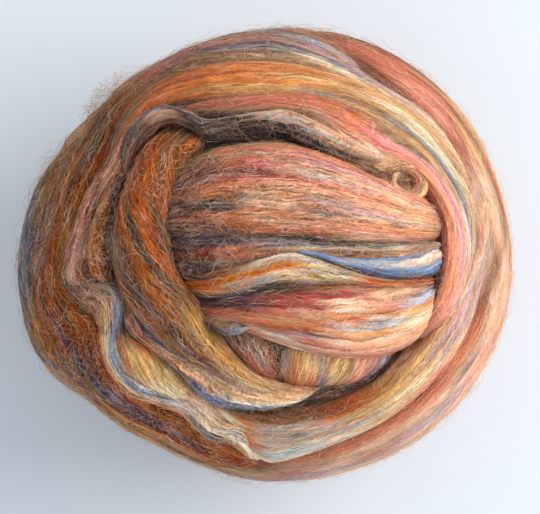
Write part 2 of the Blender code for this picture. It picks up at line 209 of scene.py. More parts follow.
# ---------------------------------------------------------------- the strands seen from above
# rows: x and y of the strand's first edge, x and y of its second edge, as seen in the 540 by 514 frame, then how far its
# face stands over the shell and half its thickness, in mm. rim rows: x and y of the inner edge, then the width down the
# shell in mm, the lift and half the thickness. colours: the row counted from 0 (or with shares=True the share of the
# strand's length), then the colours across it from its first edge to its second (from the inner edge outwards on a rim
# strand). deep darkens or lightens a strand, soft below 1 evens out its fibres, and flat is the section's fullness.
# Many strands turn dark brown to black at the ends and edges where they dip under their neighbours: that dark is
# painted shade of the creases.
STRANDS = {
    "core_upper": dict(
        rows=[
            (146, 160, 134, 236, -11, 5),
            (168, 150, 158, 238, -6, 7),
            (190, 143, 184, 239, -3, 8.5),
            (212, 136, 208, 240, -1.2, 9.3),
            (236, 132, 234, 240, -0.6, 10),
            (262, 131, 261, 240, -0.5, 10),
            (290, 132, 288, 241, -0.5, 10),
            (320, 140, 318, 242, -0.5, 10),
            (350, 152, 347, 243, -0.6, 9.5),
            (380, 167, 377, 243, -0.7, 9),
            (405, 180, 404, 244, -0.8, 8.5),
            (428, 190, 430, 243, -1.6, 7.5),
            (440, 199, 444, 241, -2.4, 7),
            (451, 208, 455, 240, -6.5, 6),
            (462, 218, 465, 238, -14, 4),
        ],
        colours=[
            (0, "0 dark_brown, .2 dark_rust, .4 maroon, .6 dark_brown, .8 charcoal, 1 black"),
            (2, "0 dark_brown, .12 olive, .2 brown, .3 maroon, .38 maroon, .43 charcoal, .49 rust, .58 brown, .68 dark_brown, .8 dark_rust, .9 dark_brown, 1 black"),
            (3, "0 olive, .08 ochre, .14 orange, .2 brown, .28 dark_rust, .35 maroon, .43 dark_rust, .5 rust, .57 orange, .63 dark_brown, .72 charcoal, .78 rust, .84 maroon, .89 brown, .94 charcoal, 1 black"),
            (4, "0 gold, .05 olive, .09 orange, .15 rust, .19 taupe, .24 rust, .3 rust, .38 maroon, .42 rose, .46 terracotta, .52 orange, .58 brown, .64 brown, .7 charcoal, .74 charcoal, .79 orange, .84 rust, .89 brown, .94 maroon, .97 charcoal, 1 black"),
            (5, "0 yellow, .05 gold, .1 orange, .13 terracotta, .17 taupe, .2 tan, .24 rust, .29 rose, .34 rose, .39 maroon, .42 crimson, .46 salmon, .52 ochre, .59 tan, .64 taupe, .69 tan, .74 orange, .8 tan, .85 orange, .91 rust, .95 charcoal, 1 black"),
            (6, "0 gold, .05 orange, .1 terracotta, .15 salmon, .2 rose, .26 taupe, .31 salmon, .36 tan, .42 crimson, .46 salmon, .52 tan, .58 orange, .63 tan, .68 peach, .73 taupe, .78 orange, .83 tan, .88 rust, .93 dark_brown, .97 charcoal, 1 grey"),
            (7, "0 ochre, .08 orange, .12 salmon, .18 rose, .23 lavender, .27 salmon, .32 tan, .37 light_grey, .41 terracotta, .46 salmon, .51 salmon, .56 tan, .6 lavender, .64 orange, .67 tan, .71 purple, .76 tan, .83 salmon, .89 rust, .94 dark_brown, .97 charcoal, 1 grey"),
            (9, "0 rust, .06 orange, .14 salmon, .22 pink, .3 peach, .38 salmon, .46 orange, .52 peach, .58 salmon, .64 lavender, .7 tan, .77 bright_orange, .84 salmon, .9 peach, .95 tan, 1 steel"),
            (11, "0 dark_rust, .12 orange, .25 salmon, .38 peach, .5 bright_orange, .6 peach, .7 tan, .8 bright_orange, .9 salmon, 1 steel"),
            (12.5, "0 dark_brown, .4 maroon, .7 dark_brown, 1 black"),
            (14, "0 dark_brown, .4 maroon, .7 dark_brown, 1 black"),
        ],
        frizz=1.0,
        soft=1.05,
        rich=1.0,
        deep=1.0,
        hairs=1.6,
    ),
    "core_dark": dict(
        rows=[
            (143, 236, 150, 272, -12, 4),
            (163, 235, 172, 281, -7, 5),
            (200, 234, 205, 281, -3, 6),
            (240, 235, 240, 273, -2, 6),
            (280, 237, 280, 262, -2, 5.5),
            (320, 240, 315, 260, -2.2, 5),
            (360, 241, 355, 264, -2.2, 5),
            (400, 242, 400, 264, -2.2, 5),
            (440, 239, 440, 254, -2.8, 5),
            (456, 238, 456, 250, -7, 4.5),
            (466, 237, 466, 246, -14, 3),
        ],
        colours=[
            (0, "0 navy, .2 charcoal, .4 maroon, .7 black, 1 dark_brown"),
            (2, "0 charcoal, .12 navy, .24 charcoal, .3 maroon, .36 crimson, .42 rust, .5 rust, .56 dark_brown, .68 black, .8 purple, .9 black, 1 dark_rust"),
            (3, "0 charcoal, .1 navy, .22 charcoal, .29 crimson, .38 rust, .5 orange, .6 rust, .7 charcoal, .8 brown, .92 orange, 1 tan"),
            (4, "0 black, .12 grey, .3 lavender, .44 tan, .6 rust, .75 tan, .88 orange, 1 white"),
            (5, "0 charcoal, .15 charcoal, .28 light_grey, .42 cream, .55 tan, .7 brown, .85 tan, 1 cornflower"),
            (6, "0 charcoal, .14 charcoal, .26 light_grey, .4 tan, .55 brown, .7 tan, .85 cream, 1 blue"),
            (7, "0 grey, .2 cream, .4 tan, .6 salmon, .8 cream, 1 blue"),
            (8, "0 charcoal, .2 taupe, .5 tan, .8 blue, 1 steel"),
            (10, "0 black, .3 brown, .6 navy, 1 black"),
        ],
        frizz=1.35,
        soft=0.95,
        deep=0.66,
        hairs=0.7,
    ),
    "core_twist": dict(
        rows=[
            (155, 278, 166, 302, -12, 4),
            (178, 280, 188, 299, -7, 5),
            (203, 277, 208, 301, -2.5, 6),
            (230, 269, 234, 298, -0.5, 7),
            (258, 257, 258, 291, 0.5, 7.5),
            (288, 250, 286, 288, 0.8, 7.5),
            (314, 254, 314, 286, 0.2, 7),
            (345, 265, 345, 286, -1.2, 6),
            (375, 275, 375, 288, -2.2, 5),
            (410, 278, 410, 290, -3, 4.5),
            (440, 276, 440, 288, -4, 4),
            (456, 273, 456, 282, -8, 3.5),
            (466, 270, 466, 278, -14, 2.5),
        ],
        colours=[
            (0, "0 dark_brown, .4 rust, .8 dark_brown, 1 teal"),
            (2, "0 dark_brown, .15 rust, .35 orange, .55 orange, .7 tan, .82 rust, .9 navy, 1 charcoal"),
            (3, "0 tan, .12 tan, .25 orange, .38 ochre, .5 grey, .6 tan, .72 ochre, .8 steel, .88 charcoal, 1 charcoal"),
            (4, "0 light_grey, .15 cream, .26 tan, .36 orange, .46 orange, .56 tan, .66 grey, .76 light_grey, .84 charcoal, .92 charcoal, 1 dark_brown"),
            (5, "0 white, .14 white, .24 tan, .36 orange, .5 peach, .58 cream, .66 grey, .74 gold, .84 teal, .92 charcoal, 1 brown"),
            (6, "0 white, .12 cream, .25 light_grey, .38 yellow, .5 grey, .62 olive, .74 yellow, .86 grey, 1 rust"),
            (7, "0 steel, .2 yellow, .4 grey, .6 cream, .8 olive, 1 rust"),
            (8, "0 navy, .2 tan, .45 rust, .65 terracotta, .85 tan, 1 rust"),
            (10, "0 navy, .3 rust, .5 crimson, .7 tan, 1 dark_rust"),
            (12, "0 black, .5 maroon, 1 dark_brown"),
        ],
        twist=-4,
        frizz=0.75,
        soft=0.85,
        deep=0.89,
        hairs=1.3,
        rich=1.13,
    ),
    "core_blue": dict(
        rows=[
            (296, 249, 298, 252, -3, 1.5),
            (320, 253, 320, 259, -1, 3),
            (345, 258, 345, 268, -0.4, 4.5),
            (375, 257, 375, 277, -0.2, 6),
            (405, 253, 405, 280, -0.4, 6.5),
            (430, 246, 430, 280, -1.2, 6.5),
            (444, 241, 446, 276, -2.4, 6.3),
            (456, 239, 458, 270, -7, 5.2),
            (465, 238, 467, 260, -14, 3),
        ],
        colours=[
            (0, "0 tan, .5 cornflower, 1 navy"),
            (1, "0 tan, .2 cornflower, .5 blue, .8 navy, 1 navy"),
            (2, "0 cornflower, .2 cornflower, .4 lavender, .6 cornflower, .78 navy, 1 navy"),
            (3, "0 tan, .06 cornflower, .22 cornflower, .34 light_grey, .44 cornflower, .56 lavender, .68 steel, .8 blue, .9 navy, 1 navy"),
            (4, "0 tan, .06 cornflower, .2 cornflower, .3 steel, .38 light_grey, .46 peach, .54 light_grey, .64 cornflower, .74 steel, .84 steel, .92 navy, 1 navy"),
            (5, "0 tan, .08 cornflower, .2 blue, .32 light_grey, .42 peach, .52 light_grey, .64 steel, .74 cornflower, .82 steel, .92 navy, 1 dark_rust"),
            (6, "0 charcoal, .15 blue, .35 peach, .5 steel, .7 steel, .88 navy, 1 maroon"),
            (8, "0 navy, .5 black, 1 dark_brown"),
        ],
        frizz=0.6,
        deep=0.95,
        soft=0.7,
        rich=0.95,
    ),
    "core_lower": dict(
        rows=[
            (172, 300, 182, 322, -12, 4),
            (192, 302, 204, 328, -7, 5),
            (215, 298, 222, 333, -4, 6),
            (245, 292, 248, 338, -2.5, 7),
            (280, 288, 276, 348, -1.5, 8),
            (315, 284, 308, 358, -0.6, 9),
            (350, 283, 346, 365, -0.3, 9.5),
            (385, 283, 388, 363, -0.3, 9.5),
            (413, 282, 421, 350, -0.8, 9),
            (433, 280, 441, 328, -2, 7.5),
            (446, 278, 452, 306, -3.4, 6),
            (457, 276, 462, 290, -7.5, 5),
            (466, 274, 470, 282, -14, 3),
        ],
        colours=[
            (0, "0 purple, .4 crimson, 1 brown"),
            (2, "0 charcoal, .12 dark_brown, .3 dark_brown, .4 rust, .52 terracotta, .62 salmon, .74 tan, .88 orange, 1 dark_brown"),
            (3, "0 brown, .12 purple, .24 maroon, .34 purple, .42 maroon, .5 rust, .58 orange, .68 rust, .76 tan, .84 orange, .92 coral, 1 brown"),
            (4, "0 dark_brown, .1 brown, .16 crimson, .3 crimson, .37 rose, .44 orange, .52 tan, .6 orange, .67 rust, .72 coral, .79 light_grey, .84 cream, .9 coral, .95 cream, 1 salmon"),
            (5, "0 rust, .08 brown, .16 crimson, .28 crimson, .34 salmon, .42 tan, .5 orange, .58 orange, .63 dark_rust, .67 pale_blue, .71 light_grey, .76 coral, .83 terracotta, .88 cream, .94 coral, 1 cream"),
            (6, "0 rust, .06 tan, .13 crimson, .2 crimson, .26 peach, .32 cream, .38 orange, .46 bright_orange, .51 light_grey, .54 pale_blue, .58 gold, .66 bright_orange, .72 cream, .78 peach, .84 coral, .9 peach, .95 terracotta, 1 peach"),
            (7, "0 dark_rust, .05 crimson, .1 tan, .18 peach, .26 salmon, .33 orange, .39 brown, .44 tan, .48 pale_blue, .53 gold, .6 bright_orange, .66 cream, .73 peach, .8 bright_orange, .87 peach, .94 coral, 1 salmon"),
            (8, "0 crimson, .07 tan, .13 peach, .2 brown, .26 light_grey, .31 pale_blue, .38 bright_orange, .46 gold, .54 cream, .64 peach, .72 bright_orange, .82 peach, .92 salmon, 1 rust"),
            (9, "0 crimson, .15 brown, .25 pale_blue, .4 orange, .55 peach, .7 gold, .85 peach, 1 rust"),
            (10, "0 dark_rust, .3 orange, .55 light_grey, .8 brown, 1 black"),
            (12, "0 dark_brown, .4 maroon, .7 brown, 1 black"),
        ],
        frizz=0.6,
        flat=0.7,
        soft=0.65,
        deep=0.97,
        rich=0.98,
        hairs=1.3,
    ),
    "leaf": dict(
        rows=[
            (190, 316, 194, 319, -8, 1.5),
            (204, 322, 208, 328, -3, 2.5),
            (219, 324, 223, 337, -1.8, 3.5),
            (232, 324, 236, 338, -1.6, 3.5),
            (243, 327, 246, 333, -2.4, 2.2),
            (253, 329, 254, 332, -4.5, 1.2),
            (266, 332, 266, 334, -8, 0.8),
        ],
        colours=[
            (0, "0 brown, .5 charcoal, 1 dark_brown"),
            (1, "0 rust, .3 charcoal, .6 steel, 1 charcoal"),
            (2, "0 tan, .2 taupe, .45 grey, .7 steel, 1 charcoal"),
            (3, "0 tan, .2 grey, .45 steel, .7 grey, 1 charcoal"),
            (4, "0 brown, .3 steel, .6 grey, 1 brown"),
            (6, "0 brown, .5 grey, 1 brown"),
        ],
        frizz=1.2,
        step=1.4,
        # deep below 1 here paints the shade that lies on this small curl.
        deep=0.62,
    ),
    "cross_band": dict(
        rows=[
            (286, 322, 430, 316, -15, 5),
            (281, 342, 428, 334, -11, 6),
            (278, 360, 421, 348, -8, 6.5),
            (276, 378, 412, 366, -7, 6.5),
            (274, 396, 400, 384, -8.5, 6),
            (272, 416, 388, 404, -14, 5),
        ],
        colours=[
            (0, "0 black, .1 dark_brown, .3 ochre, .5 brown, .7 tan, .85 lavender, 1 dark_brown"),
            (2, "0 black, .03 dark_brown, .06 tan, .09 grey, .13 ochre, .2 gold, .28 gold, .31 steel, .34 ochre, .4 gold, .48 gold, .53 olive, .57 tan, .62 salmon, .66 tan, .685 navy, .71 salmon, .74 tan, .76 navy, .8 lavender, .86 grey, .92 purple, 1 black"),
            (3, "0 black, .03 dark_brown, .06 tan, .09 grey, .14 orange, .22 gold, .33 gold, .37 steel, .4 ochre, .46 gold, .52 gold, .57 olive, .61 tan, .67 salmon, .71 tan, .74 navy, .77 salmon, .8 navy, .84 lavender, .9 grey, .95 purple, 1 black"),
            (4, "0 black, .06 brown, .14 orange, .25 ochre, .35 orange, .42 steel, .5 gold, .6 ochre, .7 salmon, .8 navy, .9 purple, 1 black"),
            (5, "0 black, .16 orange, .3 ochre, .6 brown, .8 navy, 1 black"),
        ],
        frizz=1.0,
        deep=1.05,
        soft=0.9,
        rich=1.0,
        hairs=0.6,
    ),
    "tuck": dict(
        rows=[
            (186, 312, 238, 312, -14, 4),
            (200, 326, 262, 334, -9, 5),
            (216, 348, 279, 346, -7.2, 5.5),
            (238, 370, 281, 364, -7, 5),
            (258, 390, 283, 382, -9, 4),
            (280, 406, 290, 398, -14, 3),
        ],
        colours=[
            (0, "0 brown, .5 dark_brown, 1 dark_brown"),
            (1, "0 rust, .2 brown, .4 dark_brown, .6 brown, .8 olive, 1 dark_brown"),
            (2, "0 rust, .2 dark_brown, .4 brown, .6 taupe, .8 dark_olive, .95 black, 1 black"),
            (3, "0 coral, .2 terracotta, .35 salmon, .5 grey, .65 taupe, .8 rust, .93 black, 1 black"),
            (4, "0 crimson, .3 coral, .6 crimson, .85 brown, 1 black"),
            (5, "0 dark_rust, .5 rust, 1 black"),
        ],
        frizz=1.2,
        deep=0.9,
        rich=1.0,
        soft=1.2,
    ),
    "side_turn": dict(
        rows=[
            (140, 96, 196, 104, -12, 4),
            (138, 112, 200, 118, -8, 5),
            (134, 130, 196, 134, -4, 6.5),
            (126, 148, 187, 147, -1.6, 8),
            (119, 170, 177, 167, 0, 9),
            (111, 196, 168, 190, 0.8, 9.5),
            (106, 224, 162, 217, 1.2, 9.5),
            (105, 252, 164, 247, 1.3, 9.5),
            (110, 282, 173, 277, 1.3, 9.5),
            (121, 306, 188, 299, 1.2, 9.5),
            (138, 328, 202, 325, 1, 9.5),
            (156, 347, 217, 347, 0.6, 9),
            (178, 362, 234, 368, 0.2, 8),
            (200, 375, 252, 384, -0.4, 7),
            (226, 388, 270, 394, -1.5, 5.5),
            (252, 398, 286, 400, -3.5, 4),
            (275, 406, 304, 405, -9, 3),
        ],
        colours=[
            (0, "0 dark_brown, .3 rust, .6 brown, 1 dark_brown"),
            (2, "0 rust, .08 orange, .16 tan, .22 dark_brown, .28 orange, .36 rust, .44 orange, .52 brown, .6 rust, .67 taupe, .73 brown, .82 orange, .92 rust, 1 dark_brown"),
            (4, "0 dark_brown, .06 orange, .12 rust, .2 terracotta, .27 dark_brown, .34 terracotta, .44 rust, .5 orange, .56 charcoal, .64 brown, .72 rust, .8 dark_brown, .9 taupe, 1 dark_brown"),
            (6, "0 black, .06 dark_brown, .12 orange, .2 rust, .3 terracotta, .38 brown, .46 charcoal, .55 rust, .62 terracotta, .7 tan, .78 charcoal, .86 rust, .94 taupe, 1 brown"),
            (7, "0 black, .06 dark_brown, .13 orange, .2 rust, .27 brown, .35 dark_brown, .45 olive, .52 charcoal, .6 dark_brown, .68 orange, .75 brown, .83 tan, .9 taupe, 1 brown"),
            (8.5, "0 black, .05 dark_brown, .14 brown, .24 orange, .36 brown, .46 navy, .54 dark_brown, .6 brown, .68 taupe, .76 orange, .82 tan, .9 taupe, 1 dark_brown"),
            (10, "0 gold, .12 tan, .24 brown, .36 charcoal, .46 brown, .56 taupe, .64 rust, .72 steel, .8 tan, .88 taupe, 1 brown"),
            (12, "0 gold, .14 tan, .28 brown, .4 purple, .5 tan, .6 olive, .7 gold, .78 steel, .87 tan, 1 olive"),
            (14, "0 gold, .2 cream, .35 tan, .45 steel, .58 gold, .7 cream, .85 tan, 1 steel"),
            (16, "0 steel, .4 tan, .7 gold, 1 dark_brown"),
        ],
        turn=(0.1, 0.6, 0.9),
        frizz=1.1,
        # deep below 1 here is painted shade: this strand lies on the side away from the window.
        deep=0.75,
        rich=1.16,
        soft=1.2,
        hairs=1.1,
    ),
    "side_lower": dict(
        rows=[
            (108, 298, 122, 296, -10, 3),
            (116, 317, 134, 314, -2.5, 5),
            (126, 335, 149, 335, -0.2, 6),
            (146, 350, 168, 347, 0.3, 7),
            (163, 365, 190, 357, 0.5, 7.5),
            (178, 381, 214, 367, 0.4, 7.5),
            (194, 400, 236, 379, 0.2, 7.5),
            (214, 412, 254, 388, 0, 7),
            (244, 418, 272, 396, -0.8, 6.5),
            (276, 416, 292, 402, -2.2, 5.5),
            (302, 411, 312, 404, -5, 4),
            (325, 408, 332, 403, -11, 3),
        ],
        colours=[
            (0, "0 dark_brown, .4 rust, 1 navy"),
            (2, "0 dark_brown, .3 brown, .6 rust, .8 navy, 1 charcoal"),
            (3, "0 dark_brown, .2 brown, .4 orange, .6 ochre, .78 navy, .9 taupe, 1 charcoal"),
            (4, "0 black, .15 navy, .28 brown, .4 ochre, .52 orange, .62 ochre, .72 navy, .82 tan, .92 lavender, 1 steel"),
            (5, "0 black, .12 steel, .24 navy, .36 ochre, .5 orange, .62 gold, .72 navy, .82 tan, .92 lavender, 1 steel"),
            (6, "0 black, .12 navy, .26 blue, .36 steel, .44 ochre, .56 tan, .68 ochre, .8 gold, .92 lavender, 1 steel"),
            (7, "0 charcoal, .14 navy, .26 blue, .36 navy, .46 steel, .54 cream, .62 gold, .74 gold, .86 ochre, 1 lavender"),
            (8, "0 charcoal, .16 navy, .3 blue, .4 navy, .5 cornflower, .58 cream, .7 gold, .85 gold, 1 tan"),
            (9, "0 black, .2 navy, .38 blue, .5 pale_blue, .62 cream, .8 gold, 1 ochre"),
            (10, "0 black, .2 navy, .5 charcoal, .8 cream, 1 ochre"),
            (11, "0 black, .5 dark_brown, 1 brown"),
        ],
        frizz=1.0,
        flat=0.6,
        soft=1.15,
        deep=0.97,
        rich=0.95,
    ),
    "inner_left": dict(
        rows=[
            (136, 120, 146, 132, -10, 3),
            (117, 150, 127, 158, -5, 4.5),
            (103, 176, 117, 184, -2.5, 5.5),
            (92, 197, 110, 205, -1.5, 6.5),
            (84, 222, 105, 230, -1.2, 7),
            (79, 250, 104, 252, -1.0, 7),
            (82, 275, 108, 272, -1.6, 6.5),
            (92, 295, 114, 288, -5, 5),
            (104, 312, 122, 304, -11, 4),
        ],
        colours=[
            (0, "0 brown, .5 charcoal, 1 dark_brown"),
            (2, "0 dark_rust, .3 maroon, .6 navy, .85 black, 1 black"),
            (3, "0 brown, .3 rust, .55 tan, .75 brown, .9 black, 1 black"),
            (4, "0 rust, .25 orange, .45 tan, .6 rust, .78 brown, .9 black, 1 black"),
            (5, "0 rust, .25 orange, .45 tan, .6 orange, .75 dark_rust, .88 black, 1 black"),
            (6, "0 tan, .25 orange, .5 rust, .7 brown, .86 black, 1 black"),
            (8, "0 dark_brown, .4 steel, .7 rust, 1 black"),
        ],
        frizz=1.3,
        rich=1.18,
        # deep below 1 here is painted shade: this strand lies on the side away from the window.
        deep=0.75,
        soft=1.5,
    ),
    "ring_turn": dict(
        rows=[
            (78, 196, 98, 206, -11, 3),
            (92, 160, 112, 172, -5, 4),
            (110, 124, 131, 140, -1.5, 5.5),
            (130, 98, 148, 116, -0.2, 6.5),
            (158, 77, 170, 103, 0.3, 7.5),
            (196, 64, 203, 96, 0.5, 8),
            (245, 57, 248, 92, 0.5, 8),
            (300, 60, 292, 90, 0.5, 8),
            (348, 73, 338, 94, 0.4, 8),
            (392, 93, 380, 108, 0.3, 7.5),
            (430, 121, 416, 131, 0.3, 7),
            (459, 158, 447, 162, 0.3, 7),
            (478, 198, 468, 198, 0.2, 7),
            (487, 240, 474, 236, 0, 7),
            (486, 278, 468, 270, 0, 7),
            (479, 312, 456, 302, 0, 7.5),
            (465, 347, 438, 332, 0, 8),
            (443, 378, 414, 365, 0, 8.5),
            (412, 405, 388, 393, 0.2, 9),
            (377, 430, 356, 411, 0.3, 9),
            (339, 447, 328, 421, 0.5, 9),
            (300, 459, 298, 426, 0.8, 9),
            (272, 465, 267, 426, 0.8, 8.5),
            (254, 457, 245, 422, 0.4, 7.5),
            (236, 440, 224, 413, -0.4, 6.5),
            (214, 424, 206, 405, -2, 5),
            (190, 408, 188, 394, -8, 3),
        ],
        colours=[
            (0, "0 dark_brown, .4 brown, .7 rust, 1 dark_brown"),
            (1, "0 brown, .25 rust, .5 brown, .75 dark_rust, 1 dark_brown"),
            (2, "0 dark_olive, .2 brown, .4 olive, .6 orange, .8 rust, 1 brown"),
            (3, "0 brown, .15 rust, .3 olive, .45 brown, .6 orange, .75 terracotta, .9 rust, 1 brown"),
            (4, "0 olive, .1 olive, .22 brown, .34 orange, .46 rust, .58 orange, .7 bright_orange, .82 orange, .92 brown, 1 charcoal"),
            (5, "0 olive, .08 dark_olive, .18 olive, .28 orange, .4 orange, .5 rust, .6 orange, .7 bright_orange, .8 ochre, .9 orange, .96 charcoal, 1 charcoal"),
            (6, "0 olive, .08 dark_olive, .18 ochre, .3 orange, .42 bright_orange, .54 orange, .66 bright_orange, .76 orange, .84 gold, .9 ochre, .95 steel, 1 charcoal"),
            (7, "0 olive, .1 ochre, .2 gold, .32 bright_orange, .44 orange, .54 ochre, .66 gold, .78 bright_orange, .88 gold, .95 grey, 1 charcoal"),
            (8, "0 tan, .1 olive, .22 ochre, .34 gold, .46 ochre, .58 tan, .7 gold, .82 ochre, .93 tan, 1 pale_blue"),
            (9, "0 cream, .12 tan, .26 gold, .38 tan, .5 gold, .62 peach, .74 cream, .86 tan, .95 gold, 1 pale_blue"),
            (10, "0 tan, .12 cream, .26 peach, .4 tan, .54 gold, .66 cream, .8 cream, .93 cream, 1 pale_blue"),
            (11, "0 tan, .12 peach, .25 tan, .4 peach, .54 tan, .7 cream, .82 cream, .93 cream, 1 pale_blue"),
            (12, "0 tan, .12 peach, .25 lavender, .4 tan, .54 peach, .66 cream, .8 tan, .92 cream, 1 pale_blue"),
            (13, "0 tan, .15 peach, .3 tan, .45 pink, .6 taupe, .75 tan, .9 light_grey, 1 pink"),
            (14, "0 tan, .15 peach, .3 lavender, .45 tan, .6 lavender, .75 taupe, .9 pink, 1 pink"),
            (15, "0 brown, .1 taupe, .22 peach, .36 lavender, .48 tan, .6 lavender, .72 pink, .86 tan, 1 dark_rust"),
            (16, "0 brown, .1 taupe, .22 tan, .36 peach, .48 lavender, .6 tan, .72 lavender, .86 tan, 1 dark_rust"),
            (17, "0 maroon, .08 rust, .18 rose, .3 salmon, .42 tan, .54 cream, .66 gold, .78 tan, .9 gold, 1 tan"),
            (18, "0 maroon, .08 rose, .16 salmon, .28 tan, .4 cream, .52 gold, .64 cream, .76 gold, .88 gold, 1 ochre"),
            (19, "0 maroon, .1 salmon, .2 cream, .32 gold, .44 cream, .54 grey, .64 tan, .76 gold, .86 tan, .94 orange, 1 rust"),
            (20, "0 dark_rust, .1 salmon, .2 light_grey, .32 cream, .44 tan, .54 light_grey, .66 tan, .78 light_grey, .88 tan, .95 orange, 1 brown"),
            (21, "0 brown, .1 cream, .2 white, .32 light_grey, .42 pale_blue, .52 cream, .64 tan, .74 grey, .84 tan, .93 light_grey, 1 brown"),
            (22, "0 rust, .08 cream, .2 cream, .32 light_grey, .42 white, .52 tan, .62 light_grey, .74 tan, .86 grey, .94 tan, 1 brown"),
            (23, "0 rust, .15 cream, .3 tan, .45 orange, .6 bright_orange, .75 tan, .9 orange, 1 brown"),
            (24, "0 cream, .2 white, .4 light_grey, .6 tan, .8 cream, 1 brown"),
            (26, "0 cream, .3 tan, .6 ochre, 1 olive"),
        ],
        twist=3,
        wider=0.1,
        thinner=0.7,
        frizz=0.7,
        flat=0.55,
        soft=0.75,
        rich=1.05,
        deep=0.94,
        hairs=1.1,
    ),
    "sweep": dict(
        rows=[
            (474, 128, 466, 132, -9, 2.5),
            (486, 152, 475, 156, -5, 2.6),
            (494, 185, 483, 184, -2.4, 3),
            (494, 215, 484, 210, -0.6, 3.2),
            (489, 245, 480, 240, 0.2, 3.4),
            (483, 267, 475, 260, 0.3, 3.4),
            (474, 290, 466, 281, 0.1, 3.4),
            (463, 311, 456, 302, -0.5, 3.2),
            (450, 332, 443, 322, -2.2, 2.8),
            (436, 352, 430, 343, -6, 2.4),
            (422, 370, 417, 361, -12, 2),
        ],
        colours=[
            (0, "0 tan, .5 peach, 1 tan"),
            (2, "0 tan, .2 taupe, .4 tan, .6 peach, .8 tan, 1 taupe"),
            (3, "0 peach, .15 tan, .3 peach, .45 tan, .6 gold, .8 tan, 1 peach"),
            (5, "0 tan, .15 peach, .3 tan, .45 lavender, .6 peach, .75 gold, .88 tan, 1 tan"),
            (7, "0 tan, .2 lavender, .35 tan, .5 light_grey, .65 peach, .8 tan, 1 tan"),
            (8, "0 tan, .2 peach, .4 yellow, .6 tan, .8 gold, 1 tan"),
            (10, "0 gold, .5 yellow, 1 gold"),
        ],
        frizz=0.5,
        flat=0.5,
        soft=0.5,
        deep=0.9,
        rich=0.9,
    ),
    "coral_turn": dict(
        rows=[
            (142, 104, 152, 120, -9, 3.5),
            (186, 94, 190, 110, -2.5, 5),
            (235, 90, 236, 110, -1, 6),
            (285, 88, 280, 106, -0.8, 6.5),
            (330, 92, 315, 114, -0.8, 7),
            (370, 104, 346, 134, -0.8, 7),
            (405, 125, 376, 152, -0.8, 7),
            (433, 150, 410, 162, -0.8, 6.5),
            (457, 185, 434, 184, -0.6, 6.5),
            (471, 222, 448, 216, -0.3, 6.5),
            (474, 260, 450, 250, -0.1, 6.5),
            (466, 294, 444, 284, 0.0, 6),
            (450, 320, 434, 308, -0.6, 4.5),
            (430, 344, 423, 332, -4, 3),
        ],
        colours=[
            (0, "0 brown, .5 rust, 1 dark_brown"),
            (1, "0 charcoal, .15 brown, .3 rust, .45 orange, .6 terracotta, .75 rust, .88 brown, 1 charcoal"),
            (2, "0 charcoal, .1 ochre, .22 rust, .34 orange, .5 terracotta, .7 rust, .85 taupe, 1 charcoal"),
            (3, "0 grey, .08 ochre, .18 orange, .3 rust, .42 orange, .54 terracotta, .66 rust, .8 orange, .9 taupe, 1 charcoal"),
            (4, "0 light_grey, .1 pale_blue, .18 olive, .3 orange, .42 rust, .54 orange, .66 terracotta, .8 tan, .9 taupe, 1 taupe"),
            (5, "0 pale_blue, .05 olive, .16 ochre, .26 gold, .36 olive, .46 rust, .56 orange, .68 terracotta, .8 orange, .9 salmon, 1 cream"),
            (6, "0 pale_blue, .06 taupe, .2 olive, .3 ochre, .42 olive, .5 taupe, .6 pink, .72 rose, .82 salmon, .92 cream, 1 tan"),
            (7, "0 pale_blue, .06 tan, .2 ochre, .34 gold, .44 brown, .52 taupe, .62 pink, .72 salmon, .84 coral, .93 salmon, 1 orange"),
            (8, "0 cream, .06 pale_blue, .12 tan, .22 olive, .34 ochre, .44 tan, .54 pink, .62 rose, .7 pink, .8 salmon, .9 bright_orange, 1 rust"),
            (9, "0 cream, .06 pale_blue, .14 light_grey, .26 cream, .38 tan, .48 pink, .56 rose, .64 pink, .74 salmon, .84 bright_orange, .93 terracotta, 1 dark_rust"),
            (10, "0 light_grey, .1 cream, .22 lavender, .34 tan, .44 pink, .52 rose, .62 pink, .72 salmon, .82 bright_orange, .92 terracotta, 1 black"),
            (11, "0 tan, .12 lavender, .26 tan, .4 pink, .55 salmon, .75 bright_orange, .92 dark_rust, 1 black"),
            (12, "0 taupe, .2 rose, .45 salmon, .7 terracotta, 1 dark_brown"),
            (13, "0 taupe, .5 rust, 1 dark_brown"),
        ],
        wider=0.14,
        thinner=0.75,
        frizz=0.9,
        flat=0.55,
        soft=0.6,
        rich=0.95,
        deep=0.96,
    ),
    "grey_turn": dict(
        rows=[
            (108, 188, 113, 191, -8, 2),
            (113, 167, 119, 170, -3, 2.4),
            (119, 148, 126, 152, -0.4, 2.8),
            (127, 132, 135, 138, 0.8, 3),
            (139, 118, 146, 127, 1.5, 3.2),
            (155, 108, 159, 118, 1.6, 3.4),
            (172, 105, 173, 116, 1.2, 3.6),
            (188, 108, 187, 121, 0.2, 4.2),
            (205, 113, 204, 128, -0.8, 5),
            (232, 110, 231, 123, -1.2, 5.5),
            (262, 105, 263, 122, -1.0, 6),
            (290, 101, 288, 128, -1.0, 6.5),
            (318, 110, 312, 140, -1.2, 6.3),
            (345, 126, 336, 151, -1.8, 6),
            (370, 141, 364, 160, -2.5, 5.5),
            (396, 149, 392, 164, -4, 5),
            (420, 158, 416, 172, -8, 4),
        ],
        colours=[
            (0, "0 dark_brown, .5 brown, 1 dark_brown"),
            (1, "0 charcoal, .5 dark_brown, 1 brown"),
            (3, "0 navy, .3 charcoal, .6 charcoal, 1 dark_brown"),
            (4, "0 light_grey, .25 grey, .5 charcoal, .8 brown, 1 dark_brown"),
            (5, "0 grey, .2 charcoal, .4 charcoal, .6 grey, .8 tan, 1 brown"),
            (6, "0 charcoal, .2 charcoal, .45 navy, .65 brown, .85 tan, 1 brown"),
            # From here the half of the strand towards the core is black: painted shade of the hollow under its lower
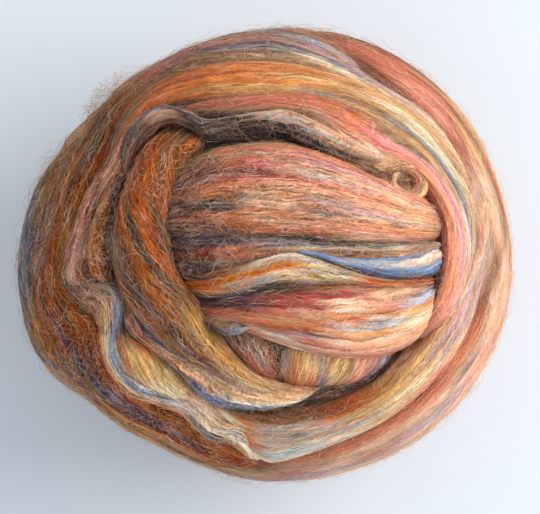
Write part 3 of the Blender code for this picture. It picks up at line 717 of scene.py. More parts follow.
            # edge.
            (7, "0 steel, .12 light_grey, .24 charcoal, .34 grey, .42 black, 1 black"),
            (8, "0 light_grey, .14 grey, .26 charcoal, .34 grey, .42 black, 1 black"),
            (9, "0 grey, .15 tan, .28 taupe, .4 grey, .5 black, 1 black"),
            (10, "0 tan, .12 light_grey, .25 taupe, .36 tan, .46 grey, .54 tan, .62 black, 1 black"),
            (11, "0 tan, .12 light_grey, .24 tan, .36 taupe, .48 tan, .58 grey, .66 tan, .74 black, 1 black"),
            (12, "0 salmon, .12 tan, .24 cream, .36 tan, .48 taupe, .58 tan, .68 grey, .8 brown, .9 black, 1 black"),
            (13, "0 salmon, .12 light_grey, .26 tan, .38 orange, .5 tan, .62 grey, .74 tan, .86 brown, .95 black, 1 black"),
            (14, "0 orange, .15 tan, .3 light_grey, .45 orange, .6 tan, .78 taupe, 1 black"),
            (16, "0 orange, .4 tan, 1 brown"),
        ],
        twist=6,
        ridge=0.8,
        lump=0.5,
        frizz=0.9,
        soft=0.7,
        deep=1.08,
        rich=0.95,
        hairs=1.2,
    ),
    # A dark strand sunk in the hollow between the grey turn and the core: its black and charcoal rows and its deep of
    # 0.45 are partly charcoal wool and partly painted shade of that hollow.
    "dark_turn": dict(
        rows=[
            (178, 122, 176, 142, -13, 3),
            (204, 124, 202, 142, -10, 4),
            (232, 120, 232, 140, -9, 4),
            (262, 118, 262, 139, -9, 4),
            (292, 122, 288, 141, -9, 4),
            (316, 136, 310, 150, -9, 4),
            (344, 148, 336, 163, -7, 4.5),
            (372, 150, 364, 176, -4.5, 5),
            (398, 157, 388, 186, -4, 5),
            (420, 166, 412, 195, -4.5, 5),
            (438, 180, 432, 201, -8, 4),
            (450, 194, 444, 206, -14, 3),
        ],
        colours=[
            (0, "0 charcoal, .5 black, 1 dark_brown"),
            (3, "0 black, .3 black, .6 charcoal, 1 black"),
            (5, "0 black, .3 charcoal, .6 black, 1 dark_brown"),
            (6, "0 black, .25 brown, .5 tan, .75 taupe, 1 dark_brown"),
            (7, "0 dark_brown, .2 brown, .35 orange, .5 taupe, .75 tan, 1 rust"),
            (8, "0 orange, .2 tan, .4 ochre, .6 taupe, .8 tan, 1 rust"),
            (11, "0 brown, .5 brown, 1 dark_brown"),
        ],
        frizz=0.9,
        deep=0.45,
        soft=1.2,
        hairs=0.25,
    ),
    "curl": dict(
        rows=[
            (368, 154, 362, 172, -8, 2.5),
            (386, 151, 384, 171, -3.6, 3.6),
            (408, 151, 406, 170, -2.0, 3.9),
            (428, 159, 418, 174, -2.0, 3.8),
            (437, 177, 422, 182, -2.4, 3.8),
            (430, 195, 417, 188, -2.8, 3.6),
            (410, 196, 410, 186, -3.2, 3.4),
            (396, 183, 403, 180, -3.4, 3.0),
            (398, 168, 405, 173, -3.4, 2.6),
            (408, 164, 410, 171, -4.0, 2.2),
            (416, 171, 413, 176, -6, 1.8),
        ],
        colours=[
            (0, "0 brown, .5 tan, 1 brown"),
            (1, "0 orange, .2 gold, .4 tan, .6 ochre, .8 tan, 1 brown"),
            (3, "0 orange, .2 gold, .4 ochre, .6 tan, .8 orange, 1 brown"),
            (5, "0 orange, .2 tan, .4 gold, .6 taupe, .8 tan, 1 orange"),
            (7, "0 orange, .3 tan, .6 gold, .8 taupe, 1 tan"),
            (10, "0 taupe, .5 tan, 1 brown"),
        ],
        frizz=1.3,
        step=1.4,
        rich=1.0,
        hairs=1.5,
        soft=1.0,
        deep=1.02,
    ),
    "gold_fold": dict(
        rows=[
            (108, 316, 118, 313, -7, 2.5),
            (112, 336, 125, 333, -1, 4.5),
            (114, 356, 148, 350, 1, 7),
            (122, 374, 168, 371, 1.8, 8),
            (138, 390, 182, 384, 1.5, 7.5),
            (162, 401, 198, 396, 0.5, 6),
            (190, 411, 212, 407, -2.5, 4.5),
            (212, 420, 226, 413, -8, 3),
        ],
        colours=[
            (0, "0 grey, .5 brown, 1 dark_brown"),
            (1, "0 grey, .3 orange, .6 brown, 1 dark_brown"),
            (2, "0 grey, .15 light_grey, .3 orange, .5 gold, .7 gold, .9 orange, 1 dark_brown"),
            (3, "0 pale_blue, .12 olive, .3 tan, .5 gold, .7 gold, .88 yellow, 1 dark_brown"),
            (4, "0 white, .15 tan, .35 tan, .55 cream, .75 yellow, .9 gold, 1 dark_brown"),
            (5, "0 white, .2 tan, .4 olive, .6 cream, .8 gold, 1 dark_brown"),
            (7, "0 cream, .5 tan, 1 brown"),
        ],
        twist=4,
        frizz=0.7,
        soft=0.8,
        rich=1.05,
    ),
    "ruffle": dict(
        rows=[
            (262, 82, 262, 92, -7, 2.5),
            (226, 82, 227, 94, -2.4, 3.5),
            (190, 87, 193, 99, -1.6, 4.5),
            (162, 91, 170, 105, -1.5, 5),
            (140, 99, 152, 112, -1.5, 5),
            (124, 111, 136, 122, -1.5, 5),
            (116, 128, 129, 136, -1.5, 5),
            (107, 148, 122, 156, -1.5, 5),
            (96, 166, 111, 176, -1.5, 5),
            (83, 184, 99, 195, -1.5, 5),
            (73, 204, 91, 214, -1.4, 5),
            (66, 226, 86, 234, -1.2, 5),
            (59, 246, 82, 253, -1.1, 5.2),
            (56, 268, 79, 268, -0.8, 5.4),
            (57, 287, 81, 276, -0.5, 5.6),
            (70, 302, 96, 280, -0.1, 5.4),
            (88, 312, 114, 290, 0.5, 4.8),
            (98, 324, 119, 311, 1.1, 4.2),
            (101, 344, 117, 340, 1.2, 4),
            (106, 363, 121, 356, 1.2, 4),
            (117, 381, 132, 370, 1.2, 4),
            (132, 396, 148, 382, 1.1, 4.2),
            (158, 405, 172, 389, 0.9, 4.6),
            (181, 415, 195, 397, 0.8, 4.8),
            (196, 431, 212, 411, 0.8, 4.8),
            (210, 442, 226, 422, 0.7, 4.8),
            (228, 445, 242, 425, 0.5, 5),
            (239, 453, 254, 434, 0.3, 5),
            (250, 466, 267, 449, -0.8, 5),
            (272, 474, 284, 460, -6, 4),
        ],
        colours=[
            (0, "0 orange, .5 ochre, 1 orange"),
            (2, "0 orange, .25 rust, .5 orange, .75 rust, 1 brown"),
            (4, "0 brown, .3 rust, .5 terracotta, .75 rust, 1 brown"),
            (6, "0 brown, .2 dark_rust, .4 salmon, .55 rust, .75 dark_rust, 1 brown"),
            (8, "0 brown, .2 maroon, .4 terracotta, .6 tan, .8 rust, 1 brown"),
            (10, "0 brown, .2 rust, .35 brown, .5 terracotta, .65 rust, .8 brown, 1 brown"),
            (12, "0 brown, .2 rust, .35 maroon, .5 rust, .65 pink, .75 taupe, .88 rust, 1 brown"),
            (14, "0 brown, .2 maroon, .4 brown, .6 tan, .8 dark_rust, 1 brown"),
            (15, "0 dark_rust, .2 brown, .4 dark_rust, .55 taupe, .7 brown, .85 dark_brown, 1 charcoal"),
            (16, "0 rust, .15 dark_rust, .3 brown, .45 dark_rust, .6 tan, .75 taupe, .9 grey, 1 charcoal"),
            (17, "0 brown, .15 orange, .3 brown, .45 gold, .6 tan, .75 grey, .88 cornflower, 1 steel"),
            (18, "0 rust, .15 orange, .32 gold, .5 cream, .64 grey, .76 cornflower, .88 steel, 1 navy"),
            (19, "0 rust, .15 orange, .3 gold, .45 cream, .6 steel, .72 cornflower, .85 cream, 1 tan"),
            (20, "0 brown, .15 orange, .3 gold, .44 cream, .56 cornflower, .66 steel, .8 gold, 1 olive"),
            (21, "0 rust, .15 orange, .3 gold, .42 cream, .54 steel, .66 cornflower, .8 cream, 1 olive"),
            (22, "0 rust, .15 orange, .3 tan, .44 cream, .58 steel, .7 cream, .85 peach, 1 tan"),
            (23, "0 rust, .12 orange, .28 tan, .42 cream, .56 white, .7 grey, .85 peach, 1 tan"),
            (24, "0 tan, .2 taupe, .36 steel, .5 white, .65 gold, .8 cream, 1 tan"),
            (25, "0 tan, .15 lavender, .3 steel, .45 tan, .6 cream, .8 gold, 1 tan"),
            (26, "0 orange, .2 tan, .35 taupe, .5 cream, .65 steel, .8 cream, 1 tan"),
            (27, "0 orange, .2 tan, .4 cream, .6 white, .8 gold, 1 tan"),
            (29, "0 tan, .5 cream, 1 tan"),
        ],
        twist=3,
        wider=0.06,
        thinner=0.8,
        frizz=1.3,
        step=2.0,
        flat=0.7,
        deep=0.95,
        soft=1.3,
        hairs=1.3,
    ),
    "pale_turn": dict(
        rows=[
            (86, 120, 104, 134, -9, 3),
            (106, 95, 126, 112, -3.5, 5),
            (136, 73, 152, 90, -1, 6.5),
            (166, 57, 180, 74, -0.5, 7),
            (202, 44, 212, 62, -0.3, 7),
            (245, 37, 250, 59, -0.3, 7),
            (285, 38, 284, 61, -0.3, 7),
            (322, 49, 314, 68, -0.3, 7),
            (355, 64, 343, 79, -0.3, 6.5),
            (393, 86, 380, 99, -0.3, 6),
            (430, 113, 418, 124, -0.5, 6),
            (458, 147, 446, 156, -0.6, 6),
            (478, 190, 466, 194, -0.8, 6),
            (488, 236, 476, 236, -1, 6),
            (489, 280, 478, 274, -4, 5),
            (482, 315, 472, 305, -9, 4),
        ],
        shares=True,
        colours=[
            (0.00, "0 brown, .5 taupe, 1 dark_brown"),
            (0.12, "0 rose, .15 brown, .3 rose, .5 rust, .7 brown, 1 olive"),
            (0.24, "0 rose, .15 taupe, .3 rose, .45 navy, .6 taupe, .72 brown, .86 olive, 1 brown"),
            (0.36, "0 pink, .12 rose, .24 taupe, .34 navy, .44 charcoal, .56 grey, .68 taupe, .8 tan, .9 olive, 1 dark_olive"),
            (0.46, "0 pink, .12 lavender, .24 pink, .34 navy, .42 steel, .52 grey, .62 cream, .74 tan, .86 olive, 1 brown"),
            (0.56, "0 brown, .12 lavender, .24 light_grey, .36 pink, .48 lavender, .6 cream, .75 tan, .9 olive, 1 olive"),
            (0.68, "0 dark_rust, .12 brown, .26 tan, .4 cream, .54 tan, .7 gold, .85 tan, 1 gold"),
            (0.82, "0 rust, .14 rose, .3 taupe, .46 tan, .62 peach, .78 gold, 1 tan"),
            (0.92, "0 rust, .2 brown, .4 tan, .6 peach, .8 tan, 1 lavender"),
            (1.00, "0 rust, .4 tan, .8 brown, 1 tan"),
        ],
        twist=2,
        wider=0.16,
        thinner=0.7,
        frizz=0.9,
        flat=0.55,
        soft=0.8,
        rich=1.0,
        deep=0.93,
    ),
    "plum_turn": dict(
        rim=[
            (76, 150, 12, -9, 3),
            (96, 122, 21, -2.5, 5),
            (122, 94, 32, -0.3, 8),
            (152, 69, 40, 0, 9),
            (186, 52, 42, 0, 9),
            (225, 41, 42, 0, 9),
            (262, 38, 42, 0, 9),
            (300, 42, 39, 0, 9),
            (334, 54, 29, -1, 8),
            (366, 74, 19, -4, 6),
            (392, 92, 10, -9, 4),
        ],
        shares=True,
        colours=[
            (0.00, "0 brown, .5 dark_brown, 1 brown"),
            (0.16, "0 brown, .15 olive, .3 brown, .5 olive, .7 brown, 1 taupe"),
            (0.30, "0 brown, .12 rose, .24 brown, .36 taupe, .5 rose, .64 tan, .8 brown, 1 taupe"),
            (0.42, "0 navy, .08 rose, .16 pink, .24 brown, .32 taupe, .44 rust, .56 brown, .7 olive, 1 tan"),
            (0.60, "0 navy, .07 pink, .14 taupe, .22 rose, .3 taupe, .38 brown, .5 steel, .62 taupe, .8 tan, 1 taupe"),
            (0.72, "0 navy, .06 pink, .14 lavender, .22 steel, .32 pale_blue, .4 brown, .52 rust, .64 brown, .8 rust, 1 tan"),
            (0.86, "0 lavender, .2 tan, .4 lavender, .6 brown, .8 rust, 1 tan"),
            (1.00, "0 lavender, .3 purple, .6 brown, 1 rust"),
        ],
        thinner=0.75,
        frizz=0.9,
        flat=0.55,
        soft=1.1,
        spread=0.68,
        rich=0.95,
        deep=1.05,
    ),
    "outer_turn": dict(
        rim=[
            (262, 30, 8, -10, 4),
            (292, 32, 16, -3, 6),
            (322, 42, 29, 0, 8),
            (349, 56, 40, 0.6, 9),
            (379, 76, 45, 0.9, 9.5),
            (410, 98, 45, 1, 10),
            (440, 123, 45, 1, 10),
            (459, 152, 45, 1, 10),
            (475, 184, 45, 1, 10),
            (486, 225, 45, 1, 10),
            (488, 258, 45, 1, 10),
            (481, 290, 45, 1, 10),
            (469, 325, 45, 1, 10),
            (450, 353, 45, 1, 10),
            (430, 379, 45, 1, 10),
            (400, 408, 45, 1, 10),
            (362, 430, 45, 1, 10),
            (325, 444, 44, 1, 10),
            (296, 454, 42, 0.8, 9.5),
            (258, 465, 40, 0.5, 9),
            (215, 458, 33, -1, 8),
            (170, 440, 26, -5, 6),
            (130, 418, 18, -11, 4),
        ],
        colours=[
            (0, "0 brown, .5 rust, 1 brown"),
            (2, "0 dark_brown, .15 brown, .3 rust, .5 brown, .75 taupe, 1 rust"),
            (3, "0 charcoal, .12 brown, .25 rust, .4 terracotta, .6 rust, .8 brown, 1 rust"),
            (4, "0 charcoal, .1 brown, .2 rust, .34 terracotta, .5 orange, .66 rust, .82 brown, 1 tan"),
            (5, "0 dark_brown, .08 brown, .18 terracotta, .32 salmon, .44 terracotta, .52 crimson, .62 ochre, .74 brown, .88 tan, 1 peach"),
            (6, "0 tan, .06 taupe, .14 terracotta, .24 salmon, .32 crimson, .4 ochre, .5 brown, .6 ochre, .72 tan, .85 peach, 1 peach"),
            (7, "0 tan, .1 peach, .16 rust, .24 crimson, .32 ochre, .44 gold, .56 brown, .68 ochre, .85 tan, 1 gold"),
            (8, "0 lavender, .1 light_grey, .2 tan, .32 peach, .44 tan, .54 brown, .64 orange, .76 peach, .88 gold, 1 tan"),
            (9, "0 lavender, .1 light_grey, .22 tan, .34 peach, .46 tan, .56 brown, .66 tan, .78 peach, .9 tan, 1 gold"),
            (10, "0 taupe, .08 light_grey, .18 tan, .28 brown, .36 dark_rust, .46 tan, .58 peach, .7 salmon, .84 tan, 1 gold"),
            (11, "0 dark_brown, .08 rust, .2 brown, .3 tan, .42 peach, .54 tan, .68 peach, .84 salmon, 1 tan"),
            (12, "0 dark_brown, .07 maroon, .14 rust, .24 orange, .36 tan, .48 peach, .6 salmon, .75 tan, 1 peach"),
            (13, "0 dark_rust, .06 maroon, .14 rust, .24 orange, .36 tan, .48 purple, .56 peach, .7 salmon, .85 peach, 1 peach"),
            (14, "0 dark_rust, .06 maroon, .14 maroon, .22 rust, .32 orange, .44 peach, .54 tan, .64 lavender, .8 peach, 1 salmon"),
            (15, "0 dark_rust, .06 maroon, .15 rust, .25 orange, .36 peach, .48 tan, .58 lavender, .7 peach, .85 tan, 1 cream"),
            (16, "0 maroon, .08 dark_rust, .16 rust, .26 orange, .38 peach, .5 tan, .62 orange, .72 lavender, .84 peach, 1 peach"),
            (17, "0 dark_brown, .1 maroon, .2 rust, .32 orange, .44 tan, .56 peach, .68 lavender, .82 peach, 1 peach"),
            (18, "0 brown, .12 rust, .24 orange, .36 tan, .5 rose, .62 tan, .76 lavender, .88 tan, 1 gold"),
            (19, "0 brown, .12 crimson, .24 brown, .4 tan, .55 ochre, .7 lavender, .85 tan, 1 gold"),
            (20, "0 brown, .15 crimson, .3 rust, .45 tan, .6 brown, .8 tan, 1 tan"),
            (22, "0 brown, .5 purple, 1 brown"),
        ],
        twist=2,
        frizz=0.6,
        flat=0.7,
        soft=0.5,
        spread=0.68,
        rich=0.93,
        deep=0.95,
    ),
    "left_low_turn": dict(
        rim=[
            (185, 66, 8, -10, 3),
            (158, 76, 12, -3, 5),
            (135, 92, 15, 0, 6.5),
            (117, 112, 17, 0.4, 7.5),
            (106, 132, 18, 0.6, 8),
            (97, 152, 19, 0.6, 8),
            (84, 177, 20, 0.6, 8),
            (75, 204, 20, 0.6, 8),
            (66, 232, 20, 0.6, 8),
            (60, 258, 20, 0.6, 8),
            (61, 284, 30, 0.6, 8),
            (76, 303, 38, 0.6, 8.5),
            (93, 320, 43, 0.6, 9),
            (100, 343, 46, 0.6, 9),
            (106, 362, 46, 0.6, 9),
            (118, 382, 46, 0.6, 9),
            (135, 397, 45, 0.6, 9),
            (160, 407, 43, 0.6, 9),
            (182, 419, 40, 0.6, 9),
            (198, 434, 36, 0.4, 8.5),
            (216, 445, 32, 0.2, 8),
            (240, 455, 27, -0.5, 7),
            (264, 466, 22, -2.5, 6),
            (296, 472, 14, -7, 4),
            (326, 470, 11, -12, 3),
        ],
        colours=[
            (0, "0 brown, .5 dark_brown, 1 brown"),
            (2, "0 rust, .2 olive, .4 brown, .6 rust, .8 olive, 1 brown"),
            (3, "0 rust, .2 brown, .4 dark_olive, .6 brown, .8 olive, 1 brown"),
            (4, "0 rust, .15 brown, .3 charcoal, .5 charcoal, .65 dark_brown, .8 brown, 1 olive"),
            (5, "0 rust, .12 brown, .25 charcoal, .4 charcoal, .5 tan, .6 brown, .75 dark_rust, .9 brown, 1 olive"),
            (6, "0 rust, .15 dark_rust, .3 dark_brown, .45 brown, .55 tan, .68 rust, .82 brown, 1 olive"),
            (8, "0 rust, .12 tan, .25 dark_rust, .38 rust, .5 maroon, .62 brown, .74 purple, .87 brown, 1 brown"),
            (10, "0 tan, .12 rust, .25 brown, .38 rust, .5 maroon, .62 brown, .75 rust, .88 dark_brown, 1 brown"),
            (12, "0 brown, .06 rust, .12 brown, .2 rust, .3 dark_rust, .42 maroon, .52 navy, .62 rust, .75 brown, .88 dark_rust, 1 brown"),
            (13, "0 rust, .08 rust, .18 maroon, .28 dark_rust, .38 navy, .48 charcoal, .58 brown, .7 purple, .85 brown, 1 taupe"),
            (14, "0 rust, .08 maroon, .16 dark_rust, .24 maroon, .34 navy, .44 charcoal, .54 brown, .66 purple, .8 taupe, 1 tan"),
            (15, "0 dark_rust, .08 maroon, .16 rust, .24 navy, .36 navy, .44 brown, .56 taupe, .7 brown, .85 tan, 1 olive"),
            (16, "0 dark_rust, .08 rust, .18 rust, .26 navy, .38 charcoal, .46 crimson, .56 tan, .7 taupe, .85 tan, 1 gold"),
            (17, "0 brown, .06 rust, .12 brown, .2 rust, .3 navy, .4 charcoal, .5 crimson, .6 tan, .72 taupe, .86 gold, 1 gold"),
            (19, "0 rust, .12 rust, .24 brown, .34 charcoal, .44 crimson, .56 tan, .7 brown, .85 lavender, 1 tan"),
            (21, "0 rust, .2 rust, .4 crimson, .6 brown, .8 tan, 1 tan"),
            (24, "0 rust, .5 tan, 1 brown"),
        ],
        twist=2,
        thinner=0.8,
        frizz=0.9,
        flat=0.6,
        spread=0.78,
        rich=1.25,
        # deep below 1 here is painted shade: this strand lies on the side away from the window.
        deep=0.75,
        soft=1.5,
    ),
    "left_turn": dict(
        rim=[
            (116, 104, 10, -10, 3),
            (92, 130, 21, -3.5, 5),
            (70, 160, 33, -0.5, 8),
            (56, 196, 42, 0.6, 9.5),
            (48, 240, 44, 1, 10),
            (47, 282, 44, 1, 10),
            (54, 322, 42, 0.8, 9.5),
            (68, 354, 33, 0, 8.5),
            (92, 386, 22, -2.5, 6),
            (124, 410, 10, -10, 4),
        ],
        colours=[
            (0, "0 brown, .5 rust, 1 brown"),
            (2, "0 rust, .2 brown, .4 dark_rust, .6 olive, .8 brown, 1 olive"),
            (3, "0 black, .12 dark_brown, .25 brown, .4 taupe, .55 olive, .75 steel, 1 olive"),
            (4, "0 black, .12 charcoal, .25 navy, .4 charcoal, .55 steel, .75 steel, 1 grey"),
            (5, "0 black, .12 brown, .25 ochre, .4 charcoal, .55 steel, .75 steel, 1 olive"),
            (6, "0 black, .15 maroon, .3 ochre, .42 orange, .58 ochre, .78 taupe, 1 steel"),
            (7, "0 black, .15 purple, .3 brown, .46 ochre, .62 taupe, .8 steel, 1 tan"),
            (8, "0 brown, .25 purple, .5 dark_olive, .75 gold, 1 steel"),
            (9, "0 brown, .5 dark_brown, 1 brown"),
        ],
        twist=3,
        frizz=0.8,
        flat=0.6,
        spread=0.68,
        rich=1.26,
        # deep below 1 here is painted shade: this strand lies on the side away from the window.
        deep=0.74,
        soft=1.55,
    ),
}

# ---------------------------------------------------------------- the turns round the sides and under the ball
# As in the part: the lean of the ring's axis and where it heads, the ring's spread from the axis, all in degrees, then
# the lift, half width and half thickness in mm. Three turns share a piece, and the last word is its set of colours.
LOW_TURNS = {
    "low_outer": [(7, 80, 78, -3.5, 19, 8), (5, 300, 101, -0.5, 21, 8), (9, 60, 122, -0.2, 21, 8)],
    "low_middle": [(13, 200, 140, -0.6, 20, 7.5), (18, 20, 160, -1.0, 19, 7), (34, 215, 108, -0.3, 20, 7.5)],
    "low_inner": [(58, 35, 104, -0.2, 20, 8), (70, 150, 84, -0.5, 19, 8), (48, 300, 100, -0.3, 20, 8)],
}
LOW_COLOURS = {
    "low_outer": [
        (0.00, "0 rust, .08 tan, .16 brown, .25 orange, .33 navy, .42 ochre, .5 terracotta, .58 cream, .66 brown, .75 taupe, .84 gold, .92 rust, 1 dark_brown"),
        (0.25, "0 brown, .1 orange, .2 rust, .28 steel, .38 tan, .48 gold, .56 brown, .66 rose, .75 terracotta, .84 taupe, .92 crimson, 1 brown"),
        (0.50, "0 taupe, .1 salmon, .18 cream, .26 peach, .36 rust, .46 tan, .54 lavender, .64 orange, .74 gold, .84 brown, .92 navy, 1 rust"),
        (0.75, "0 rust, .1 salmon, .2 peach, .3 terracotta, .4 tan, .5 purple, .6 peach, .7 orange, .8 cream, .9 taupe, 1 dark_rust"),
        (1.00, "0 rust, .08 tan, .16 brown, .25 orange, .33 navy, .42 ochre, .5 terracotta, .58 cream, .66 brown, .75 taupe, .84 gold, .92 rust, 1 dark_brown"),
    ],
    "low_middle": [
        (0.00, "0 brown, .1 rust, .2 orange, .3 ochre, .4 brown, .5 cream, .58 steel, .68 tan, .78 orange, .88 rust, 1 dark_brown"),
        (0.33, "0 dark_brown, .1 maroon, .2 crimson, .3 orange, .4 tan, .5 peach, .6 salmon, .7 gold, .8 olive, .9 taupe, 1 brown"),
        (0.66, "0 brown, .1 gold, .2 cream, .3 pale_blue, .4 tan, .5 rust, .6 terracotta, .7 orange, .8 brown, .9 navy, 1 brown"),
        (1.00, "0 brown, .1 rust, .2 orange, .3 ochre, .4 brown, .5 cream, .58 steel, .68 tan, .78 orange, .88 rust, 1 dark_brown"),
    ],
    "low_inner": [
        (0.00, "0 rust, .12 brown, .25 orange, .38 tan, .5 ochre, .62 rust, .75 terracotta, .88 navy, 1 brown"),
        (0.33, "0 brown, .12 orange, .25 gold, .38 rust, .5 brown, .62 cream, .75 peach, .88 taupe, 1 brown"),
        (0.66, "0 tan, .12 rust, .25 crimson, .38 tan, .5 orange, .62 brown, .75 steel, .88 gold, 1 rust"),
        (1.00, "0 rust, .12 brown, .25 orange, .38 tan, .5 ochre, .62 rust, .75 terracotta, .88 navy, 1 brown"),
    ],
}
HIDE_FROM, HIDE_OVER, HIDE_LIFT = 10.0, 36.0, -14.0

SIDE_FROM, SIDE_TO = -28.0, 208.0  # the part of a strand's section that can show, in degrees round it from its first edge
FACE_LOW, FACE_HIGH = 0.07, 0.93  # where that part lies in the UV map's v
END_U = 0.01  # the ends' caps lie in this much of u


# ---------------------------------------------------------------- smooth noise over a plane, for relief
def value_noise(x, y, seed):
    """Smooth noise from -1 to 1, with one swell to a unit."""
    table = np.random.default_rng(seed).uniform(-1, 1, (256, 256))
    i, j = np.floor(x).astype(int), np.floor(y).astype(int)
    a, b = eased(x - i), eased(y - j)
    i, j, k, m = i % 256, j % 256, (i + 1) % 256, (j + 1) % 256
    return (table[i, j] * (1 - a) + table[k, j] * a) * (1 - b) + (table[i, m] * (1 - a) + table[k, m] * a) * b


def spline(rows, at):
    """Rows read from a smooth curve through them, at places counted in rows."""
    rows = np.asarray(rows, float)
    i = np.clip(np.floor(at).astype(int), 0, len(rows) - 2)
    t = (at - i)[:, None]
    a, b = rows[np.clip(i - 1, 0, None)], rows[i]
    c, d = rows[i + 1], rows[np.clip(i + 2, None, len(rows) - 1)]
    return 0.5 * (2 * b + (c - a) * t + (2 * a - 5 * b + 4 * c - d) * t**2 + (3 * b - a - 3 * c + d) * t**3)


def evenly(points, step):
    """Places, counted in rows of points, that are about step apart."""
    far = np.concatenate([[0], np.cumsum(np.linalg.norm(np.diff(points, axis=0), axis=1))])
    count = max(12, int(round(far[-1] / step)))
    return np.interp(np.linspace(0, far[-1], count + 1), far, np.arange(len(points)) * 1.0), far[-1]


def section_angles(count):
    """v of the UV map and the angle round the section, for each column and the seam's second copy."""
    v = np.arange(count + 1) / count
    # more columns go to the part that shows
    v = FACE_LOW + (FACE_HIGH - FACE_LOW) * np.linspace(0, 1, count - 5)
    v = np.concatenate([[0, FACE_LOW / 3, FACE_LOW * 2 / 3], v, [1 - FACE_LOW * 2 / 3, 1 - FACE_LOW / 3, 1]])
    angle = np.interp(
        v,
        [0, FACE_LOW, FACE_HIGH, 1],
        [(SIDE_FROM + SIDE_TO - 360) / 2, SIDE_FROM, SIDE_TO, (SIDE_FROM + SIDE_TO + 360) / 2],
    )
    return v, np.radians(angle)


class Strand:
    """A grid of points on a strand's surface, in mm: rows along it and columns round it."""

    def __init__(self, name, grid, v, length, width, closed=False):
        grid = grid.copy()
        low = grid[..., 2]
        grid[..., 2] = (low + np.sqrt(low**2 + 0.36)) / 2  # what lies on the floor is flat there
        self.name, self.grid, self.v = name, grid, v
        self.length, self.width, self.closed = length, width, closed
        along = np.gradient(grid, axis=0)
        if closed:
            along = np.roll(grid, -1, 0) - np.roll(grid, 1, 0)
        ring = grid[:, :-1]
        around = np.roll(ring, -1, 1) - np.roll(ring, 1, 1)
        around = np.concatenate([around, around[:, :1]], 1)
        normal = unit(np.cross(along, around))
        middle = len(v) // 2
        self.inside_out = np.sum(normal[:, middle] * (grid[:, middle] - MIDDLE)) < 0
        self.normal = -normal if self.inside_out else normal

    def place(self, u, p):
        """Point and outward normal at u along and p across the face, by interpolation."""
        rows, cols = self.grid.shape[:2]
        v = FACE_LOW + (FACE_HIGH - FACE_LOW) * np.clip(p, 0, 1)
        y = np.interp(v, self.v, np.arange(cols) * 1.0)
        x = (u % 1) * rows if self.closed else np.clip(u, 0, 1) * (rows - 1)
        i, j = np.floor(x).astype(int), np.minimum(np.floor(y).astype(int), cols - 2)
        a, b = (x - i)[..., None], (y - j)[..., None]
        if self.closed:
            i, k = i % rows, (i + 1) % rows
        else:
            i = np.minimum(i, rows - 2)
            a = (x - i)[..., None]
            k = i + 1

        def read(g):
            return (g[i, j] * (1 - a) + g[k, j] * a) * (1 - b) + (g[i, j + 1] * (1 - a) + g[k, j + 1] * a) * b

        return read(self.grid), unit(read(self.normal))


def relief(strand, seed, ridge=0.55, lump=0.5, ridge_gap=2.3, ridge_run=55.0, skew=0.0):
    """Raises and lowers the face in long ridges, the locks of fibre, and in wider lumps."""
    rows, cols = strand.grid.shape[:2]
    s = np.linspace(0, strand.length, rows)[:, None] * np.ones((1, cols))
    w = strand.v[None, :] * strand.width * 2.2 + skew * s / strand.length
    s = s * np.ones_like(w)
    wander = 1.6 * value_noise(s / 38, w / 9, seed + 5)
    high = value_noise(s / ridge_run, (w + wander) / ridge_gap, seed)
    fine = value_noise(s / (ridge_run * 0.7), (w + wander) / (ridge_gap * 0.42), seed + 1)
    lumps = value_noise(s / 24, w / 11, seed + 2)
    move = ridge * (1 - 2 * np.abs(high)) * 0.6 + ridge * 0.35 * fine + lump * lumps
    if strand.closed:  # the noise doesn't repeat, so it fades to nothing where the ring meets itself
        edge = eased(np.minimum(np.arange(rows), rows - np.arange(rows)) / 8)[:, None]
        move = move * edge
    face = np.interp(strand.v, [0, FACE_LOW, FACE_HIGH, 1], [0, 1, 1, 0])[None, :]
    face = face * np.where((strand.v > 0) & (strand.v < 1), 1, 0)
    grid = strand.grid + strand.normal * (move * face)[..., None]
    grid[:, -1] = grid[:, 0]
    return Strand(strand.name, grid, strand.v, strand.length, strand.width, strand.closed)


def row_shares(rows, at, length_places):
    """u at each whole row, for a strand whose grid rows lie at the places at, counted in finer rows."""
    u = END_U + (1 - 2 * END_U) * np.linspace(0, 1, len(at))
    return np.interp(np.arange(rows) * (length_places - 1) / (rows - 1), at, u)


def strand_from_edges(name, one, two, lift, thick, count, columns, step, flat=0.9):
    """one and two are points on the shell, the strand's edges at its rows."""
    middle = (one + two) / 2
    at, length = evenly(middle, step)
    one, two = on_shell(spline(one, at)), on_shell(spline(two, at))
    lift, thick = (spline(np.asarray(x, float)[:, None], at)[:, 0] for x in (lift, thick))
    v, angle = section_angles(columns)
    share = (1 - np.cos(angle)) / 2
    p = on_shell(one[:, None] + (two - one)[:, None] * share[None, :, None])
    n = shell_normal(p)
    high = np.sign(np.sin(angle)) * np.abs(np.sin(angle)) ** flat
    grid = p + n * (lift[:, None] - thick[:, None] + thick[:, None] * high[None, :])[..., None]
    width = float(np.median(np.linalg.norm(two - one, axis=1)))
    made = Strand(name, grid + MIDDLE, v, length, width)
    made.row_u = row_shares(count, at, len(middle))
    return made


def seen_strand(name, rows, columns=64, step=2.4, wider=0.0, thinner=1.0, flat=0.9):
    rows = np.asarray(rows, float).copy()
    out = (rows[:, 0:2] - rows[:, 2:4]) * wider / 2
    rows[:, 0:2] += out
    rows[:, 2:4] -= out
    rows[:, 5] *= thinner
    fine = spline(rows, np.linspace(0, len(rows) - 1, 6 * len(rows)))
    return strand_from_edges(name, seen_place(fine[:, 0:2]), seen_place(fine[:, 2:4]), fine[:, 4], fine[:, 5], len(rows), columns, step, flat)


